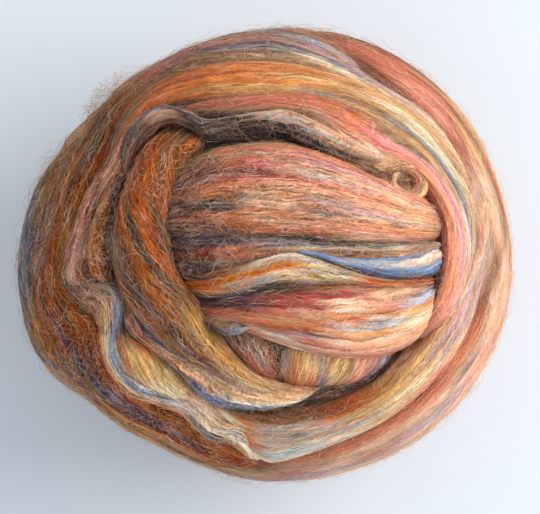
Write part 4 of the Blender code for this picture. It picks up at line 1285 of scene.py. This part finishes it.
def rim_strand(name, rows, columns=64, step=2.4, wider=0.0, thinner=1.0, flat=0.9):
    rows = np.asarray(rows, float).copy()
    rows[:, 4] *= thinner
    fine = spline(rows, np.linspace(0, len(rows) - 1, 6 * len(rows)))
    inner = seen_place(fine[:, 0:2])
    outer = down_from(inner, fine[:, 2])
    return strand_from_edges(name, inner, outer, fine[:, 3], fine[:, 4], len(rows), columns, step, flat)


def ring_strand(name, lean, heading, spread, lift, wide, thick, columns=48, step=3.4):
    a, h, s = (math.radians(x) for x in (lean, heading, spread))
    axis = np.array([math.sin(a) * math.cos(h), math.sin(a) * math.sin(h), math.cos(a)])
    side = unit(np.cross(axis, [0.3, 0.1, 1.0]))
    other = np.cross(axis, side)
    length = 2 * math.pi * 84 * math.sin(s)
    rows = int(length / step)
    turn = np.linspace(0, 2 * math.pi, rows, endpoint=False)[:, None]

    def ring(by):
        q = s + by / 84
        way = axis * np.cos(q) + (side * np.cos(turn) + other * np.sin(turn)) * np.sin(q)
        return on_shell(way * np.array([HALF_WIDE, HALF_DEEP, HALF_HIGH]))

    one, two = ring(-wide), ring(wide)
    middle = on_shell(one + two)
    under = eased((middle[:, 2] - HIDE_FROM) / (HIDE_OVER - HIDE_FROM))
    lift = lift + (HIDE_LIFT - lift) * under
    v, angle = section_angles(columns)
    share = (1 - np.cos(angle)) / 2
    p = on_shell(one[:, None] + (two - one)[:, None] * share[None, :, None])
    high = np.sign(np.sin(angle)) * np.abs(np.sin(angle)) ** 0.9
    grid = p + shell_normal(p) * (lift[:, None] - thick + thick * high[None, :])[..., None]
    return Strand(name, grid + MIDDLE, v, length, 2 * wide, closed=True)


# ---------------------------------------------------------------- meshes
def mesh_object(name, points, faces, uvs, smooth=True):
    """points in mm. faces is a list of (n, k) index arrays, and uvs a list of (n, k, 2) arrays to match."""
    mesh = bpy.data.meshes.new(name)
    loops = np.concatenate([f.reshape(-1) for f in faces]).astype(np.int32)
    sizes = np.concatenate([np.full(len(f), f.shape[1]) for f in faces]).astype(np.int32)
    starts = np.concatenate([[0], np.cumsum(sizes)[:-1]]).astype(np.int32)
    mesh.vertices.add(len(points))
    mesh.vertices.foreach_set("co", (points / 1000).astype(np.float32).reshape(-1))
    mesh.loops.add(len(loops))
    mesh.loops.foreach_set("vertex_index", loops)
    mesh.polygons.add(len(sizes))
    mesh.polygons.foreach_set("loop_start", starts)
    mesh.polygons.foreach_set("loop_total", sizes)
    layer = mesh.uv_layers.new(name="OFBake")
    layer.data.foreach_set("uv", np.concatenate([u.reshape(-1) for u in uvs]).astype(np.float32))
    mesh.polygons.foreach_set("use_smooth", np.full(len(sizes), smooth))
    mesh.update(calc_edges=True)
    mesh.validate()
    made = bpy.data.objects.new(name, mesh)
    bpy.context.scene.collection.objects.link(made)
    return made


def strand_faces(strand, first=0, u_low=0.0, u_high=1.0, v_low=0.0, v_high=1.0):
    """Points, faces and UVs of a strand as one closed mesh."""
    rows, cols = strand.grid.shape[0], strand.grid.shape[1] - 1
    points = strand.grid[:, :-1].reshape(-1, 3)
    i, j = np.meshgrid(np.arange(rows if strand.closed else rows - 1), np.arange(cols), indexing="ij")
    k, m = (i + 1) % rows, (j + 1) % cols
    quads = np.stack([i * cols + j, k * cols + j, k * cols + m, i * cols + m], -1).reshape(-1, 4)
    v = v_low + (v_high - v_low) * strand.v
    if strand.closed:
        u = u_low + (u_high - u_low) * np.arange(rows + 1) / rows
    else:
        u = u_low + (u_high - u_low) * (END_U + (1 - 2 * END_U) * np.arange(rows) / (rows - 1))
    uv = np.stack(
        [
            np.stack([u[i], v[j]], -1),
            np.stack([u[i + 1], v[j]], -1),
            np.stack([u[i + 1], v[j + 1]], -1),
            np.stack([u[i], v[j + 1]], -1),
        ],
        2,
    ).reshape(-1, 4, 2)
    faces, uvs = [quads + first], [uv]
    if not strand.closed:
        j = np.arange(cols)
        m = (j + 1) % cols
        a, b = len(points), len(points) + 1
        points = np.concatenate([points, strand.grid[0, :-1].mean(0)[None], strand.grid[-1, :-1].mean(0)[None]])
        last = (rows - 1) * cols
        faces.append(np.stack([np.full(cols, a), j, m], -1) + first)
        faces.append(np.stack([np.full(cols, b), last + m, last + j], -1) + first)
        half = (v[j] + v[j + 1]) / 2
        uvs.append(
            np.stack([np.stack([np.full(cols, u_low), half], -1), np.stack([np.full(cols, u[0]), v[j]], -1), np.stack([np.full(cols, u[0]), v[j + 1]], -1)], 1)
        )
        uvs.append(
            np.stack([np.stack([np.full(cols, u_high), half], -1), np.stack([np.full(cols, u[-1]), v[j + 1]], -1), np.stack([np.full(cols, u[-1]), v[j]], -1)], 1)
        )
    if strand.inside_out:
        faces, uvs = [f[:, ::-1] for f in faces], [x[:, ::-1] for x in uvs]
    return points, faces, uvs


# ---------------------------------------------------------------- materials
class Nodes:
    """Short ways to add nodes to a material."""

    def __init__(self, name):
        self.material = bpy.data.materials.new(name)
        self.material.use_nodes = True
        self.tree = self.material.node_tree
        self.shader = self.tree.nodes["Principled BSDF"]

    def add(self, kind, **settings):
        node = self.tree.nodes.new(kind)
        for key, value in settings.items():
            setattr(node, key, value)
        return node

    def put(self, socket, value):
        if isinstance(value, bpy.types.NodeSocket):
            self.tree.links.new(value, socket)
        else:
            socket.default_value = value

    def math(self, operation, a, b=0.0, c=0.0, clamp=False):
        node = self.add("ShaderNodeMath", operation=operation, use_clamp=clamp)
        for socket, value in zip(node.inputs, (a, b, c)):
            self.put(socket, value)
        return node.outputs[0]

    def vector(self, x, y, z=0.0):
        node = self.add("ShaderNodeCombineXYZ")
        for socket, value in zip(node.inputs, (x, y, z)):
            self.put(socket, value)
        return node.outputs[0]

    def noise(self, vector, detail=2.0, rough=0.5):
        node = self.add("ShaderNodeTexNoise", noise_dimensions="3D")
        self.put(node.inputs["Vector"], vector)
        node.inputs["Scale"].default_value = 1.0
        node.inputs["Detail"].default_value = detail
        node.inputs["Roughness"].default_value = rough
        return node.outputs["Fac"]

    def span(self, value, low, high, to_low=0.0, to_high=1.0, smooth=False):
        node = self.add("ShaderNodeMapRange", interpolation_type="SMOOTHSTEP" if smooth else "LINEAR")
        for socket, x in zip(node.inputs, (value, low, high, to_low, to_high)):
            self.put(socket, x)
        return node.outputs[0]

    def mix(self, share, a, b, blend="MIX"):
        node = self.add("ShaderNodeMix", data_type="RGBA", blend_type=blend)
        self.put(node.inputs[0], share)
        self.put(node.inputs[6], a)
        self.put(node.inputs[7], b)
        return node.outputs[2]

    def ramp(self, share, table, constant=False):
        node = self.add("ShaderNodeValToRGB")
        ramp = node.color_ramp
        ramp.interpolation = "CONSTANT" if constant else "LINEAR"
        for k, (at, name) in enumerate(table):
            if k < 2:
                stop = ramp.elements[k]
                stop.position = at
            else:
                stop = ramp.elements.new(at)
            stop.color = (*[float(x) for x in LINEAR[name]], 1.0)
        self.put(node.inputs[0], share)
        return node.outputs["Color"]


def wool_finish(nodes):
    """The settings that every wool surface shares."""
    shader = nodes.shader
    shader.inputs["Metallic"].default_value = 0.0
    shader.inputs["Specular IOR Level"].default_value = 0.07
    shader.inputs["IOR"].default_value = 1.5
    shader.inputs["Sheen Weight"].default_value = 0.08
    shader.inputs["Sheen Roughness"].default_value = 0.5
    shader.inputs["Sheen Tint"].default_value = (1.0, 0.93, 0.85, 1.0)


def strand_material(name, length, width, colours, seed, twist=0.0, frizz=1.0, turn=None, soft=1.0, deep=1.0, rich=1.0, spread=1.0):
    """Streaks of blended colour that run along u, crimped like the fibres, with stray fibres crossing them."""
    n = Nodes(name)
    uv = n.add("ShaderNodeUVMap", uv_map="OFBake")
    split = n.add("ShaderNodeSeparateXYZ")
    n.put(split.inputs[0], uv.outputs[0])
    u, v = split.outputs[0], split.outputs[1]
    angle = n.span(v, FACE_LOW, FACE_HIGH, math.radians(SIDE_FROM), math.radians(SIDE_TO))
    across = n.math("MULTIPLY_ADD", n.math("COSINE", angle), -0.5, 0.5)
    if spread != 1.0:
        across = n.math("PINGPONG", n.math("MULTIPLY", across, 1 / spread), 1.0)
    s = n.math("MULTIPLY", u, length)
    w = n.math("MULTIPLY_ADD", u, twist, n.math("MULTIPLY", v, width * 2.0))
    if turn:  # the strand is twisted between two places along it, so its fibres cross it aslant
        low, high, across_it = turn
        shear = n.span(u, low, high, 0.0, across_it, smooth=True)
        w = n.math("MULTIPLY_ADD", shear, -1.5 * width, w)
        across = n.math("PINGPONG", n.math("SUBTRACT", n.math("ADD", across, 2.0), shear), 1.0)

    def flow(run, gap, offset, detail=1.0, rough=0.5, side=w):
        return n.noise(n.vector(n.math("MULTIPLY", s, 1 / run), n.math("MULTIPLY", side, 1 / gap), seed + offset), detail, rough)

    def off(part, reach, to):
        return n.math("MULTIPLY_ADD", n.math("SUBTRACT", part, 0.5), reach, to)

    crimp = flow(12, 6, 1.3, 2.0)
    kink = flow(2.8, 2.6, 21.0)
    bent = off(crimp, 2.6, w)
    kinked = off(kink, 0.9, bent)
    slow = flow(60, 5, 0.0)
    wide = flow(70, 1.7, 3.7, 2.0, side=bent)
    fibre = off(kink, 0.5, bent)
    fine = flow(26, 0.85, 8.1, 1.0, side=fibre)
    hair = flow(7.0, 0.4, 12.9, 0.0, side=kinked)
    fleck = flow(1.7, 0.5, 17.7, 0.0, side=n.math("MULTIPLY_ADD", s, 0.35, kinked))
    thread = flow(10, 0.62, 61.3, 0.0, side=kinked)
    at = across
    for part, reach in ((slow, 2.4), (wide, 3.2), (fine, 2.6), (hair, 1.7)):
        at = off(part, reach / width, at)
    colour = None
    before = 0.0
    for place, text in colours:
        this = n.ramp(at, stops(text))
        if colour is None:
            colour = this
        else:
            shift = off(wide, 0.7 * (place - before), off(fine, 0.7 * (place - before), u))
            colour = n.mix(n.span(shift, before, place), colour, this)
        before = place
    single = n.ramp(thread, stops("0 charcoal, .3 dark_brown, .42 brown, .5 tan, .58 orange, .66 peach, .76 white, 1 pale_blue"))
    colour = n.mix(0.16 * soft, colour, single)
    value = off(fleck, 0.9 * soft, off(fine, 1.2 * soft, off(hair, 1.6 * soft, 0.97)))
    colour = n.mix(1.0, colour, n.vector(value, value, value), "MULTIPLY")
    # stray fibres, as the level lines of a noise: thin and curly, some along the strand and some across it
    def curls(run, gap, offset, thin, lean=0.0):
        side = n.math("MULTIPLY_ADD", s, lean, kinked)
        line = n.math("ABSOLUTE", n.math("SUBTRACT", flow(run, gap, offset, 1.0, side=side), 0.5))
        return n.span(line, 0.0, thin, 1.0, 0.0, smooth=True)

    pale = n.math("MAXIMUM", curls(3.0, 2.4, 31.0, 0.022), curls(6.0, 1.5, 37.0, 0.028, 0.5))
    pale = n.math("MAXIMUM", pale, curls(6.5, 1.6, 43.0, 0.028, -0.55))
    pale = n.math("MAXIMUM", pale, curls(13.0, 1.5, 47.0, 0.034))
    # dark: thin lines mixed towards near-black, painted shade in the gaps between fibres
    dark = curls(9.0, 1.3, 55.0, 0.03)
    patch = n.span(flow(9, 6, 49.0, 2.0), 0.35, 0.65)
    colour = n.mix(n.math("MULTIPLY", dark, 0.1 * soft), colour, (0.05, 0.022, 0.012, 1.0))
    lift = n.math("MULTIPLY", pale, n.math("MULTIPLY_ADD", patch, 0.38 * frizz * soft, 0.24 * frizz * soft), clamp=True)
    bright = n.mix(0.55, n.mix(1.0, colour, (2.0, 1.9, 1.8, 1.0), "MULTIPLY"), (0.66, 0.5, 0.4, 1.0))
    colour = n.mix(lift, colour, bright)
    vivid = n.add("ShaderNodeHueSaturation")
    vivid.inputs["Saturation"].default_value = 1.0 * rich
    vivid.inputs["Value"].default_value = deep
    n.put(vivid.inputs["Color"], colour)
    n.put(n.shader.inputs["Base Color"], vivid.outputs[0])
    n.put(n.shader.inputs["Roughness"], n.span(hair, 0.2, 0.8, 0.8, 1.0))
    bump = n.add("ShaderNodeBump")
    bump.inputs["Strength"].default_value = 0.8
    bump.inputs["Distance"].default_value = 0.0006
    height = n.math("MULTIPLY_ADD", fine, 0.7, n.math("MULTIPLY_ADD", hair, 0.45, n.math("MULTIPLY", pale, 0.3)))
    n.put(bump.inputs["Height"], height)
    n.put(n.shader.inputs["Normal"], bump.outputs[0])
    wool_finish(n)
    return n.material


# ---------------------------------------------------------------- loose fibres
FIBRE_COLOURS = [
    "dark_brown", "brown", "taupe", "tan", "olive", "dark_olive", "maroon", "crimson", "rust", "dark_rust", "terracotta",
    "coral", "orange", "bright_orange", "ochre", "gold", "yellow", "cream", "white", "peach", "salmon", "rose", "pink",
    "grey", "light_grey", "navy", "blue", "cornflower", "pale_blue", "charcoal", "lavender", "steel",
]
FIBRE_LINEAR = np.array([LINEAR[name] for name in FIBRE_COLOURS])


def colour_at(colours, u, across):
    """The strand's colour there, before its noise, as the material mixes it."""
    places = np.array([place for place, _ in colours])
    rows = []
    for _, text in colours:
        table = stops(text)
        at = [a for a, _ in table]
        rows.append(np.stack([np.interp(across, at, [LINEAR[name][c] for _, name in table]) for c in range(3)], -1))
    rows = np.stack(rows)
    k = np.clip(np.searchsorted(places, u, side="right") - 1, 0, len(places) - 2)
    t = np.clip((u - places[k]) / (places[k + 1] - places[k]), 0, 1)[:, None]
    pick = np.arange(len(u))
    return rows[k, pick] * (1 - t) + rows[k + 1, pick] * t


def nearest_colour(rgb):
    far = ((np.sqrt(rgb)[:, None] - np.sqrt(FIBRE_LINEAR)[None]) ** 2).sum(-1)
    return np.argmin(far, 1)


class Fibres:
    """Gathers fibres, each a line of points with a radius and a colour, and makes one mesh of closed three-sided tubes."""

    def __init__(self):
        self.lines, self.radii, self.colours = [], [], []

    def add(self, lines, radius, colour):
        self.lines.append(lines)
        self.radii.append(radius)
        self.colours.append(colour)

    def weight(self):
        return sum(x.shape[0] * (6 * x.shape[1] - 12) for x in self.lines)

    def make(self, name):
        points, faces, uvs = [], [[], []], [[], []]
        first = 0
        for lines, radius, colour in zip(self.lines, self.radii, self.colours):
            n, m = lines.shape[:2]
            along = unit(np.gradient(lines, axis=1))
            helper = unit(np.cross(along, np.array([0.31, 0.17, 0.93])))
            other = np.cross(along, helper)
            taper = np.sin(np.linspace(0, math.pi, m))[None, :, None] ** 0.35
            rings = []
            for k in range(3):
                turn = 2 * math.pi * k / 3
                rings.append(lines + (helper * math.cos(turn) + other * math.sin(turn)) * radius[:, None, None] * taper)
            rings = np.stack(rings, 2)[:, 1:-1]  # n, m - 2, 3, xyz
            block = np.concatenate([rings.reshape(n, -1, 3), lines[:, :1], lines[:, -1:]], 1)
            per = block.shape[1]
            base = first + np.arange(n)[:, None, None] * per
            i, k = np.meshgrid(np.arange(m - 3), np.arange(3), indexing="ij")
            q = (k + 1) % 3
            quad = np.stack([i * 3 + k, i * 3 + q, (i + 1) * 3 + q, (i + 1) * 3 + k], -1).reshape(1, -1, 4)
            faces[0].append((base + quad).reshape(-1, 4))
            u = np.linspace(0.04, 0.96, m - 2)
            low, band = (colour + 0.25) / len(FIBRE_COLOURS), 0.5 / len(FIBRE_COLOURS)
            vk, vq = k / 3 * band, (k + 1) / 3 * band
            uv = np.stack(
                [
                    np.stack([u[i], vk], -1),
                    np.stack([u[i], vq], -1),
                    np.stack([u[i + 1], vq], -1),
                    np.stack([u[i + 1], vk], -1),
                ],
                2,
            ).reshape(1, -1, 4, 2)
            uv = np.broadcast_to(uv, (n, *uv.shape[1:])).copy()
            uv[..., 1] += low[:, None, None]
            uvs[0].append(uv.reshape(-1, 4, 2))
            k = np.arange(3)
            q = (k + 1) % 3
            start = np.stack([np.full(3, (m - 2) * 3), q, k], -1)
            end = np.stack([np.full(3, (m - 2) * 3 + 1), (m - 3) * 3 + k, (m - 3) * 3 + q], -1)
            caps = np.concatenate([start, end])[None]
            faces[1].append((base + caps).reshape(-1, 3))
            vk, vq = k / 3 * band, (k + 1) / 3 * band
            uv = np.concatenate(
                [
                    np.stack([np.stack([np.full(3, 0.0), (vk + vq) / 2], -1), np.stack([np.full(3, 0.04), vq], -1), np.stack([np.full(3, 0.04), vk], -1)], 1),
                    np.stack([np.stack([np.full(3, 1.0), (vk + vq) / 2], -1), np.stack([np.full(3, 0.96), vk], -1), np.stack([np.full(3, 0.96), vq], -1)], 1),
                ]
            )[None]
            uv = np.broadcast_to(uv, (n, *uv.shape[1:])).copy()
            uv[..., 1] += low[:, None, None]
            uvs[1].append(uv.reshape(-1, 3, 2))
            points.append(block.reshape(-1, 3))
            first += n * per
        return mesh_object(name, np.concatenate(points), [np.concatenate(f) for f in faces], [np.concatenate(x) for x in uvs])


def fibre_material():
    n = Nodes("loose_fibre")
    uv = n.add("ShaderNodeUVMap", uv_map="OFBake")
    split = n.add("ShaderNodeSeparateXYZ")
    n.put(split.inputs[0], uv.outputs[0])
    count = len(FIBRE_COLOURS)
    colour = n.ramp(split.outputs[1], [(k / count, name) for k, name in enumerate(FIBRE_COLOURS)], constant=True)
    shade = n.noise(n.vector(n.math("MULTIPLY", split.outputs[0], 5.0), n.math("MULTIPLY", split.outputs[1], 3.0)), 1.0)
    value = n.span(shade, 0.3, 0.7, 0.82, 1.12)
    n.put(n.shader.inputs["Base Color"], n.mix(1.0, colour, n.vector(value, value, value), "MULTIPLY"))
    n.put(n.shader.inputs["Roughness"], n.span(shade, 0.3, 0.7, 0.5, 0.7))
    bump = n.add("ShaderNodeBump")
    bump.inputs["Strength"].default_value = 0.2
    bump.inputs["Distance"].default_value = 0.00005
    n.put(bump.inputs["Height"], shade)
    n.put(n.shader.inputs["Normal"], bump.outputs[0])
    wool_finish(n)
    return n.material


def pick_colour(colours, u, across, r, spread=0.04, light=0.0, names=()):
    rgb = colour_at(colours, np.clip(u, 0, 1), np.clip(across + r.normal(0, spread, len(u)), 0, 1))
    index = nearest_colour(rgb * r.uniform(0.8, 1.5, (len(u), 1)))
    pale = r.random(len(u)) < light
    if pale.any():
        index[pale] = r.choice([FIBRE_COLOURS.index(x) for x in names], pale.sum())
    return index


def face_share(p, spread=1.0):
    """How far across the strand's colours the place p of its face lies."""
    far = (1 - np.cos(np.radians(SIDE_FROM + (SIDE_TO - SIDE_FROM) * p))) / 2 / spread
    return 1 - np.abs(1 - far % 2)


def laid_fibres(strand, colours, count, seed, points=6, stand=(0.1, 0.5), length=(16, 46), stray=1.6, radius=(0.045, 0.08)):
    """Fibres that run along a strand just over its face, each with both ends tucked in."""
    r = np.random.default_rng(seed)
    long = r.uniform(*length, count) / strand.length
    u0, p0 = r.random(count), r.uniform(0.04, 0.96, count)
    drift = r.normal(0, stray, count) / strand.width
    t = np.linspace(0, 1, points)[None, :]
    wave = r.normal(0, 0.3, (count, 1)) * np.sin(t * r.uniform(3, 9, (count, 1)) + r.uniform(0, 6, (count, 1))) / strand.width
    u = u0[:, None] + (t - 0.5) * long[:, None]
    if not strand.closed:
        u = np.clip(u, 0.005, 0.995)
    p = np.clip(p0[:, None] + drift[:, None] * (t - 0.5) * 2 + wave, 0.0, 1.0)
    place, normal = strand.place(u, p)
    high = r.uniform(*stand, (count, 1)) * np.sin(t * math.pi) - 0.1
    index = pick_colour(colours, u0, face_share(p0, getattr(strand, "spread", 1.0)), r, light=0.2, names=("tan", "peach", "gold", "orange", "brown"))
    return place + normal * high[..., None], r.uniform(*radius, count), index


def stray_fibres(strand, colours, count, seed, points=8, reach=(0.12, 1.1), length=(4, 12), radius=(0.034, 0.056), at=None):
    """Short crimped fibres that leave the face, cross it at any angle and come back to it."""
    r = np.random.default_rng(seed)
    long = r.uniform(*length, count)
    u0, p0 = r.random(count), r.uniform(0.03, 0.97, count)
    if at:
        u0, p0 = r.uniform(at[0], at[1], count), r.uniform(at[2], at[3], count)
    t = np.linspace(0, 1, points)[None, :]
    heading = r.normal(0, 0.55, (count, 1)) + r.normal(0, 1.1, (count, 1)) * (t - 0.5)
    waves = long[:, None] / r.uniform(4.0, 8.0, (count, 1))
    way = heading + r.uniform(0.15, 0.6, (count, 1)) * np.sin(2 * math.pi * (t * waves + r.random((count, 1))))
    step = (long / (points - 1))[:, None]
    u = u0[:, None] + np.cumsum(np.cos(way) * step, 1) / strand.length
    if not strand.closed:
        u = np.clip(u, 0.005, 0.995)
    p = np.clip(p0[:, None] + np.cumsum(np.sin(way) * step, 1) / (strand.width * 1.6), 0.0, 1.0)
    place, normal = strand.place(u, p)
    high = r.uniform(*reach, (count, 1)) * np.sin(t * math.pi) ** 0.7
    high = high * (1 + 0.3 * np.sin(2 * math.pi * (t * waves * 1.3 + r.random((count, 1))))) - 0.1
    index = pick_colour(colours, u0, face_share(p0, getattr(strand, "spread", 1.0)), r, light=0.7, names=("cream", "tan", "peach", "gold", "yellow", "peach"))
    return place + normal * high[..., None], r.uniform(*radius, count), index


# ---------------------------------------------------------------- make the ball
pieces = []
made_strands = {}


def finish_piece(made, material):
    made.data.materials.append(material)
    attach(made, "root")
    pieces.append(made)


for number, (name, table) in enumerate(STRANDS.items()):
    kind, rows = (rim_strand, table["rim"]) if "rim" in table else (seen_strand, table["rows"])
    twist, frizz = table.get("twist", 0.0), table.get("frizz", 1.0)
    strand = kind(name, rows, step=table.get("step", 2.4), wider=table.get("wider", 0.0), thinner=table.get("thinner", 1.0), flat=table.get("flat", 0.9))
    colours = table["colours"]
    if not table.get("shares"):
        last = len(rows) - 1
        colours = [(0.0 if r == 0 else 1.0 if r == last else float(np.interp(r, np.arange(last + 1), strand.row_u)), text) for r, text in colours]
    deep, rich = table.get("deep", 1.0), table.get("rich", 1.0)
    strand = relief(strand, 40 + 7 * number, skew=twist, ridge=table.get("ridge", 0.55), lump=table.get("lump", 0.5))
    points, faces, uvs = strand_faces(strand)
    made = mesh_object(name, points, faces, uvs)
    finish_piece(made, strand_material(name, strand.length, strand.width, colours, 3.1 * number, twist, frizz, table.get("turn"), table.get("soft", 1.0), deep, rich, table.get("spread", 1.0)))
    strand.spread = table.get("spread", 1.0)
    made_strands[name] = (strand, colours, frizz * table.get("hairs", 1.0))

for number, (name, rings) in enumerate(LOW_TURNS.items()):
    points, faces, uvs, first = [], [[]], [[]], 0
    for k, ring in enumerate(rings):
        strand = relief(ring_strand(f"{name}_{k}", *ring), 400 + 30 * number + 7 * k)
        low = k / len(rings)
        p, f, t = strand_faces(strand, first, v_low=0, v_high=1)
        points.append(p)
        faces[0].append(f[0])
        uvs[0].append(t[0])
        first += len(p)
        made_strands[strand.name] = (strand, LOW_COLOURS[name], 0.5)
    made = mesh_object(name, np.concatenate(points), [np.concatenate(faces[0])], [np.concatenate(uvs[0])])
    finish_piece(made, strand_material(name, strand.length, strand.width, LOW_COLOURS[name], 90 + 3.1 * number))

# the wound wool under the turns, which shows only between them; its dark brown to black colours paint the shade in
# those gaps
rows, cols = 60, 96
turn = np.linspace(0, 2 * math.pi, cols, endpoint=False)
tilt = np.linspace(-math.pi / 2, math.pi / 2, rows + 2)[1:-1]
way = np.stack(
    [np.cos(tilt)[:, None] * np.cos(turn), np.cos(tilt)[:, None] * np.sin(turn), np.sin(tilt)[:, None] * np.ones(cols)], -1
)
inner = on_shell(way * np.array([HALF_WIDE, HALF_DEEP, HALF_HIGH]))
inner = inner - unit(inner) * (6.0 + 5.0 * eased((inner[..., 2:] + 5) / 30))
inner = inner + unit(inner) * (0.5 * value_noise(tilt[:, None] * 12 + 0 * turn, turn[None] * 4 + 0 * tilt[:, None], 5))[..., None]
i, j = np.meshgrid(np.arange(rows - 1), np.arange(cols), indexing="ij")
m = (j + 1) % cols
quads = np.stack([i * cols + j, i * cols + m, (i + 1) * cols + m, (i + 1) * cols + j], -1).reshape(-1, 4)
u, v = (np.arange(cols + 1)) / cols, 0.02 + 0.96 * np.arange(rows) / (rows - 1)
quad_uv = np.stack([np.stack([u[j], v[i]], -1), np.stack([u[j + 1], v[i]], -1), np.stack([u[j + 1], v[i + 1]], -1), np.stack([u[j], v[i + 1]], -1)], 2).reshape(-1, 4, 2)
j = np.arange(cols)
m = (j + 1) % cols
bottom, top = rows * cols, rows * cols + 1
last = (rows - 1) * cols
caps = np.concatenate([np.stack([np.full(cols, bottom), m, j], -1), np.stack([np.full(cols, top), last + j, last + m], -1)])
half = (u[j] + u[j + 1]) / 2
cap_uv = np.concatenate(
    [
        np.stack([np.stack([half, 0 * half], -1), np.stack([u[j + 1], 0 * half + 0.02], -1), np.stack([u[j], 0 * half + 0.02], -1)], 1),
        np.stack([np.stack([half, 0 * half + 1], -1), np.stack([u[j], 0 * half + 0.98], -1), np.stack([u[j + 1], 0 * half + 0.98], -1)], 1),
    ]
)
points = np.concatenate([inner.reshape(-1, 3), inner[0].mean(0)[None], inner[-1].mean(0)[None]]) + MIDDLE
core = mesh_object("wound_middle", points, [quads, caps], [quad_uv, cap_uv])
finish_piece(
    core,
    strand_material(
        "wound_middle",
        520.0,
        120.0,
        [(0.0, "0 dark_brown, .5 dark_rust, 1 black"), (0.5, "0 dark_rust, .3 dark_brown, .6 charcoal, 1 dark_brown"), (1.0, "0 dark_brown, .5 dark_rust, 1 black")],
        160,
    ),
)

# loose fibres: some along the strands, more that stray over them
loose = [Fibres(), Fibres(), Fibres(), Fibres()]
LAID, STRAY = 1300, 13800
RIM, HALO, LOW_HALO = ("plum_turn", "outer_turn", "left_turn", "left_low_turn", "pale_turn"), 2400, 110
areas = {name: strand.length * strand.width * (0.35 if name.startswith("low_") else 1.0) * max(frizz, 0.5) for name, (strand, _, frizz) in made_strands.items()}
whole = sum(areas.values())
for number, (name, (strand, colours, frizz)) in enumerate(made_strands.items()):
    share = areas[name] / whole
    for fibres, count in ((laid_fibres, LAID), (stray_fibres, STRAY)):
        group = min(loose, key=Fibres.weight)
        seed = 900 + number if fibres is laid_fibres else 1300 + number
        group.add(*fibres(strand, colours, max(4, int(count * share)), seed))
for number, name in enumerate(("plum_turn", "outer_turn", "left_turn", "left_low_turn", "pale_turn", *(n for n in made_strands if n.startswith("low_")))):
    strand, colours, _ = made_strands[name]
    count = int(HALO * strand.length * strand.width / sum(made_strands[n][0].length * made_strands[n][0].width for n in RIM)) if name in RIM else LOW_HALO
    group = min(loose, key=Fibres.weight)
    group.add(*stray_fibres(strand, colours, count, 1700 + number, reach=(0.5, 2.8), length=(6, 16), radius=(0.026, 0.042)))
# a loose tuft at the upper left and a fringe at the lower left
for number, (name, at, count, reach) in enumerate((("plum_turn", (0.03, 0.2, 0.25, 0.6), 90, (1.5, 6.0)), ("left_turn", (0.04, 0.22, 0.2, 0.6), 60, (1.5, 5.0)), ("left_turn", (0.78, 0.97, 0.3, 0.7), 110, (1.0, 4.0)))):
    strand, colours, _ = made_strands[name]
    group = min(loose, key=Fibres.weight)
    group.add(*stray_fibres(strand, colours, count, 1900 + number, points=12, reach=reach, length=(8, 20), radius=(0.03, 0.05), at=at))
wool = fibre_material()
for k, group in enumerate(loose):
    made = group.make(f"loose_fibres_{k + 1}")
    finish_piece(made, wool)
    print("fibres", group.weight(), "triangles", sum(len(p.vertices) - 2 for p in made.data.polygons))

for made in pieces:
    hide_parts("roving_ball")

# ---------------------------------------------------------------- floor, light and camera
floor_mesh = bpy.data.meshes.new("floor")
floor_mesh.from_pydata([(-4, -4, 0), (4, -4, 0), (4, 4, 0), (-4, 4, 0)], [], [(0, 1, 2, 3)])
floor = bpy.data.objects.new("floor", floor_mesh)
bpy.context.scene.collection.objects.link(floor)
plain = bpy.data.materials.new("pale_floor")
plain.use_nodes = True
plain.node_tree.nodes["Principled BSDF"].inputs["Base Color"].default_value = (0.652, 0.687, 0.716, 1.0)
plain.node_tree.nodes["Principled BSDF"].inputs["Roughness"].default_value = 0.9
floor.data.materials.append(plain)


def area_light(name, place, size, power, colour):
    from mathutils import Vector

    data = bpy.data.lights.new(name, "AREA")
    data.shape = "SQUARE"
    data.size = size
    data.energy = power
    data.color = colour
    made = bpy.data.objects.new(name, data)
    made.location = place
    made.rotation_euler = (Vector((0, 0, 0.06)) - Vector(place)).to_track_quat("-Z", "Y").to_euler()
    bpy.context.scene.collection.objects.link(made)


area_light("window", (1.0, 0.25, 0.62), 1.0, 18.6, (1.0, 0.985, 0.965))
area_light("fill", (-0.35, -1.1, 0.6), 1.2, 4.0, (0.58, 0.79, 1.0))
world = bpy.data.worlds.new("soft_room")
world.use_nodes = True
world.node_tree.nodes["Background"].inputs[0].default_value = (0.87, 0.94, 1.02, 1.0)
world.node_tree.nodes["Background"].inputs[1].default_value = 0.80
bpy.context.scene.world = world
bpy.context.scene.view_settings.view_transform = "Standard"

from mathutils import Matrix

data = bpy.data.cameras.new("camera")
data.lens = FOCAL
data.sensor_width = SENSOR
data.sensor_fit = "HORIZONTAL"
data.clip_start = 0.05
camera = bpy.data.objects.new("camera", data)
turn = Matrix(((1, 0, 0), (0, UP[1], BACK[1]), (0, UP[2], BACK[2])))
camera.matrix_world = Matrix.Translation([float(x) / 1000 for x in EYE]) @ turn.to_4x4()
bpy.context.scene.collection.objects.link(camera)
bpy.context.scene.camera = camera

bpy.context.view_layer.update()
total = sum(sum(len(p.vertices) - 2 for p in o.data.polygons) for o in pieces)
print("pieces", len(pieces), "triangles", total)
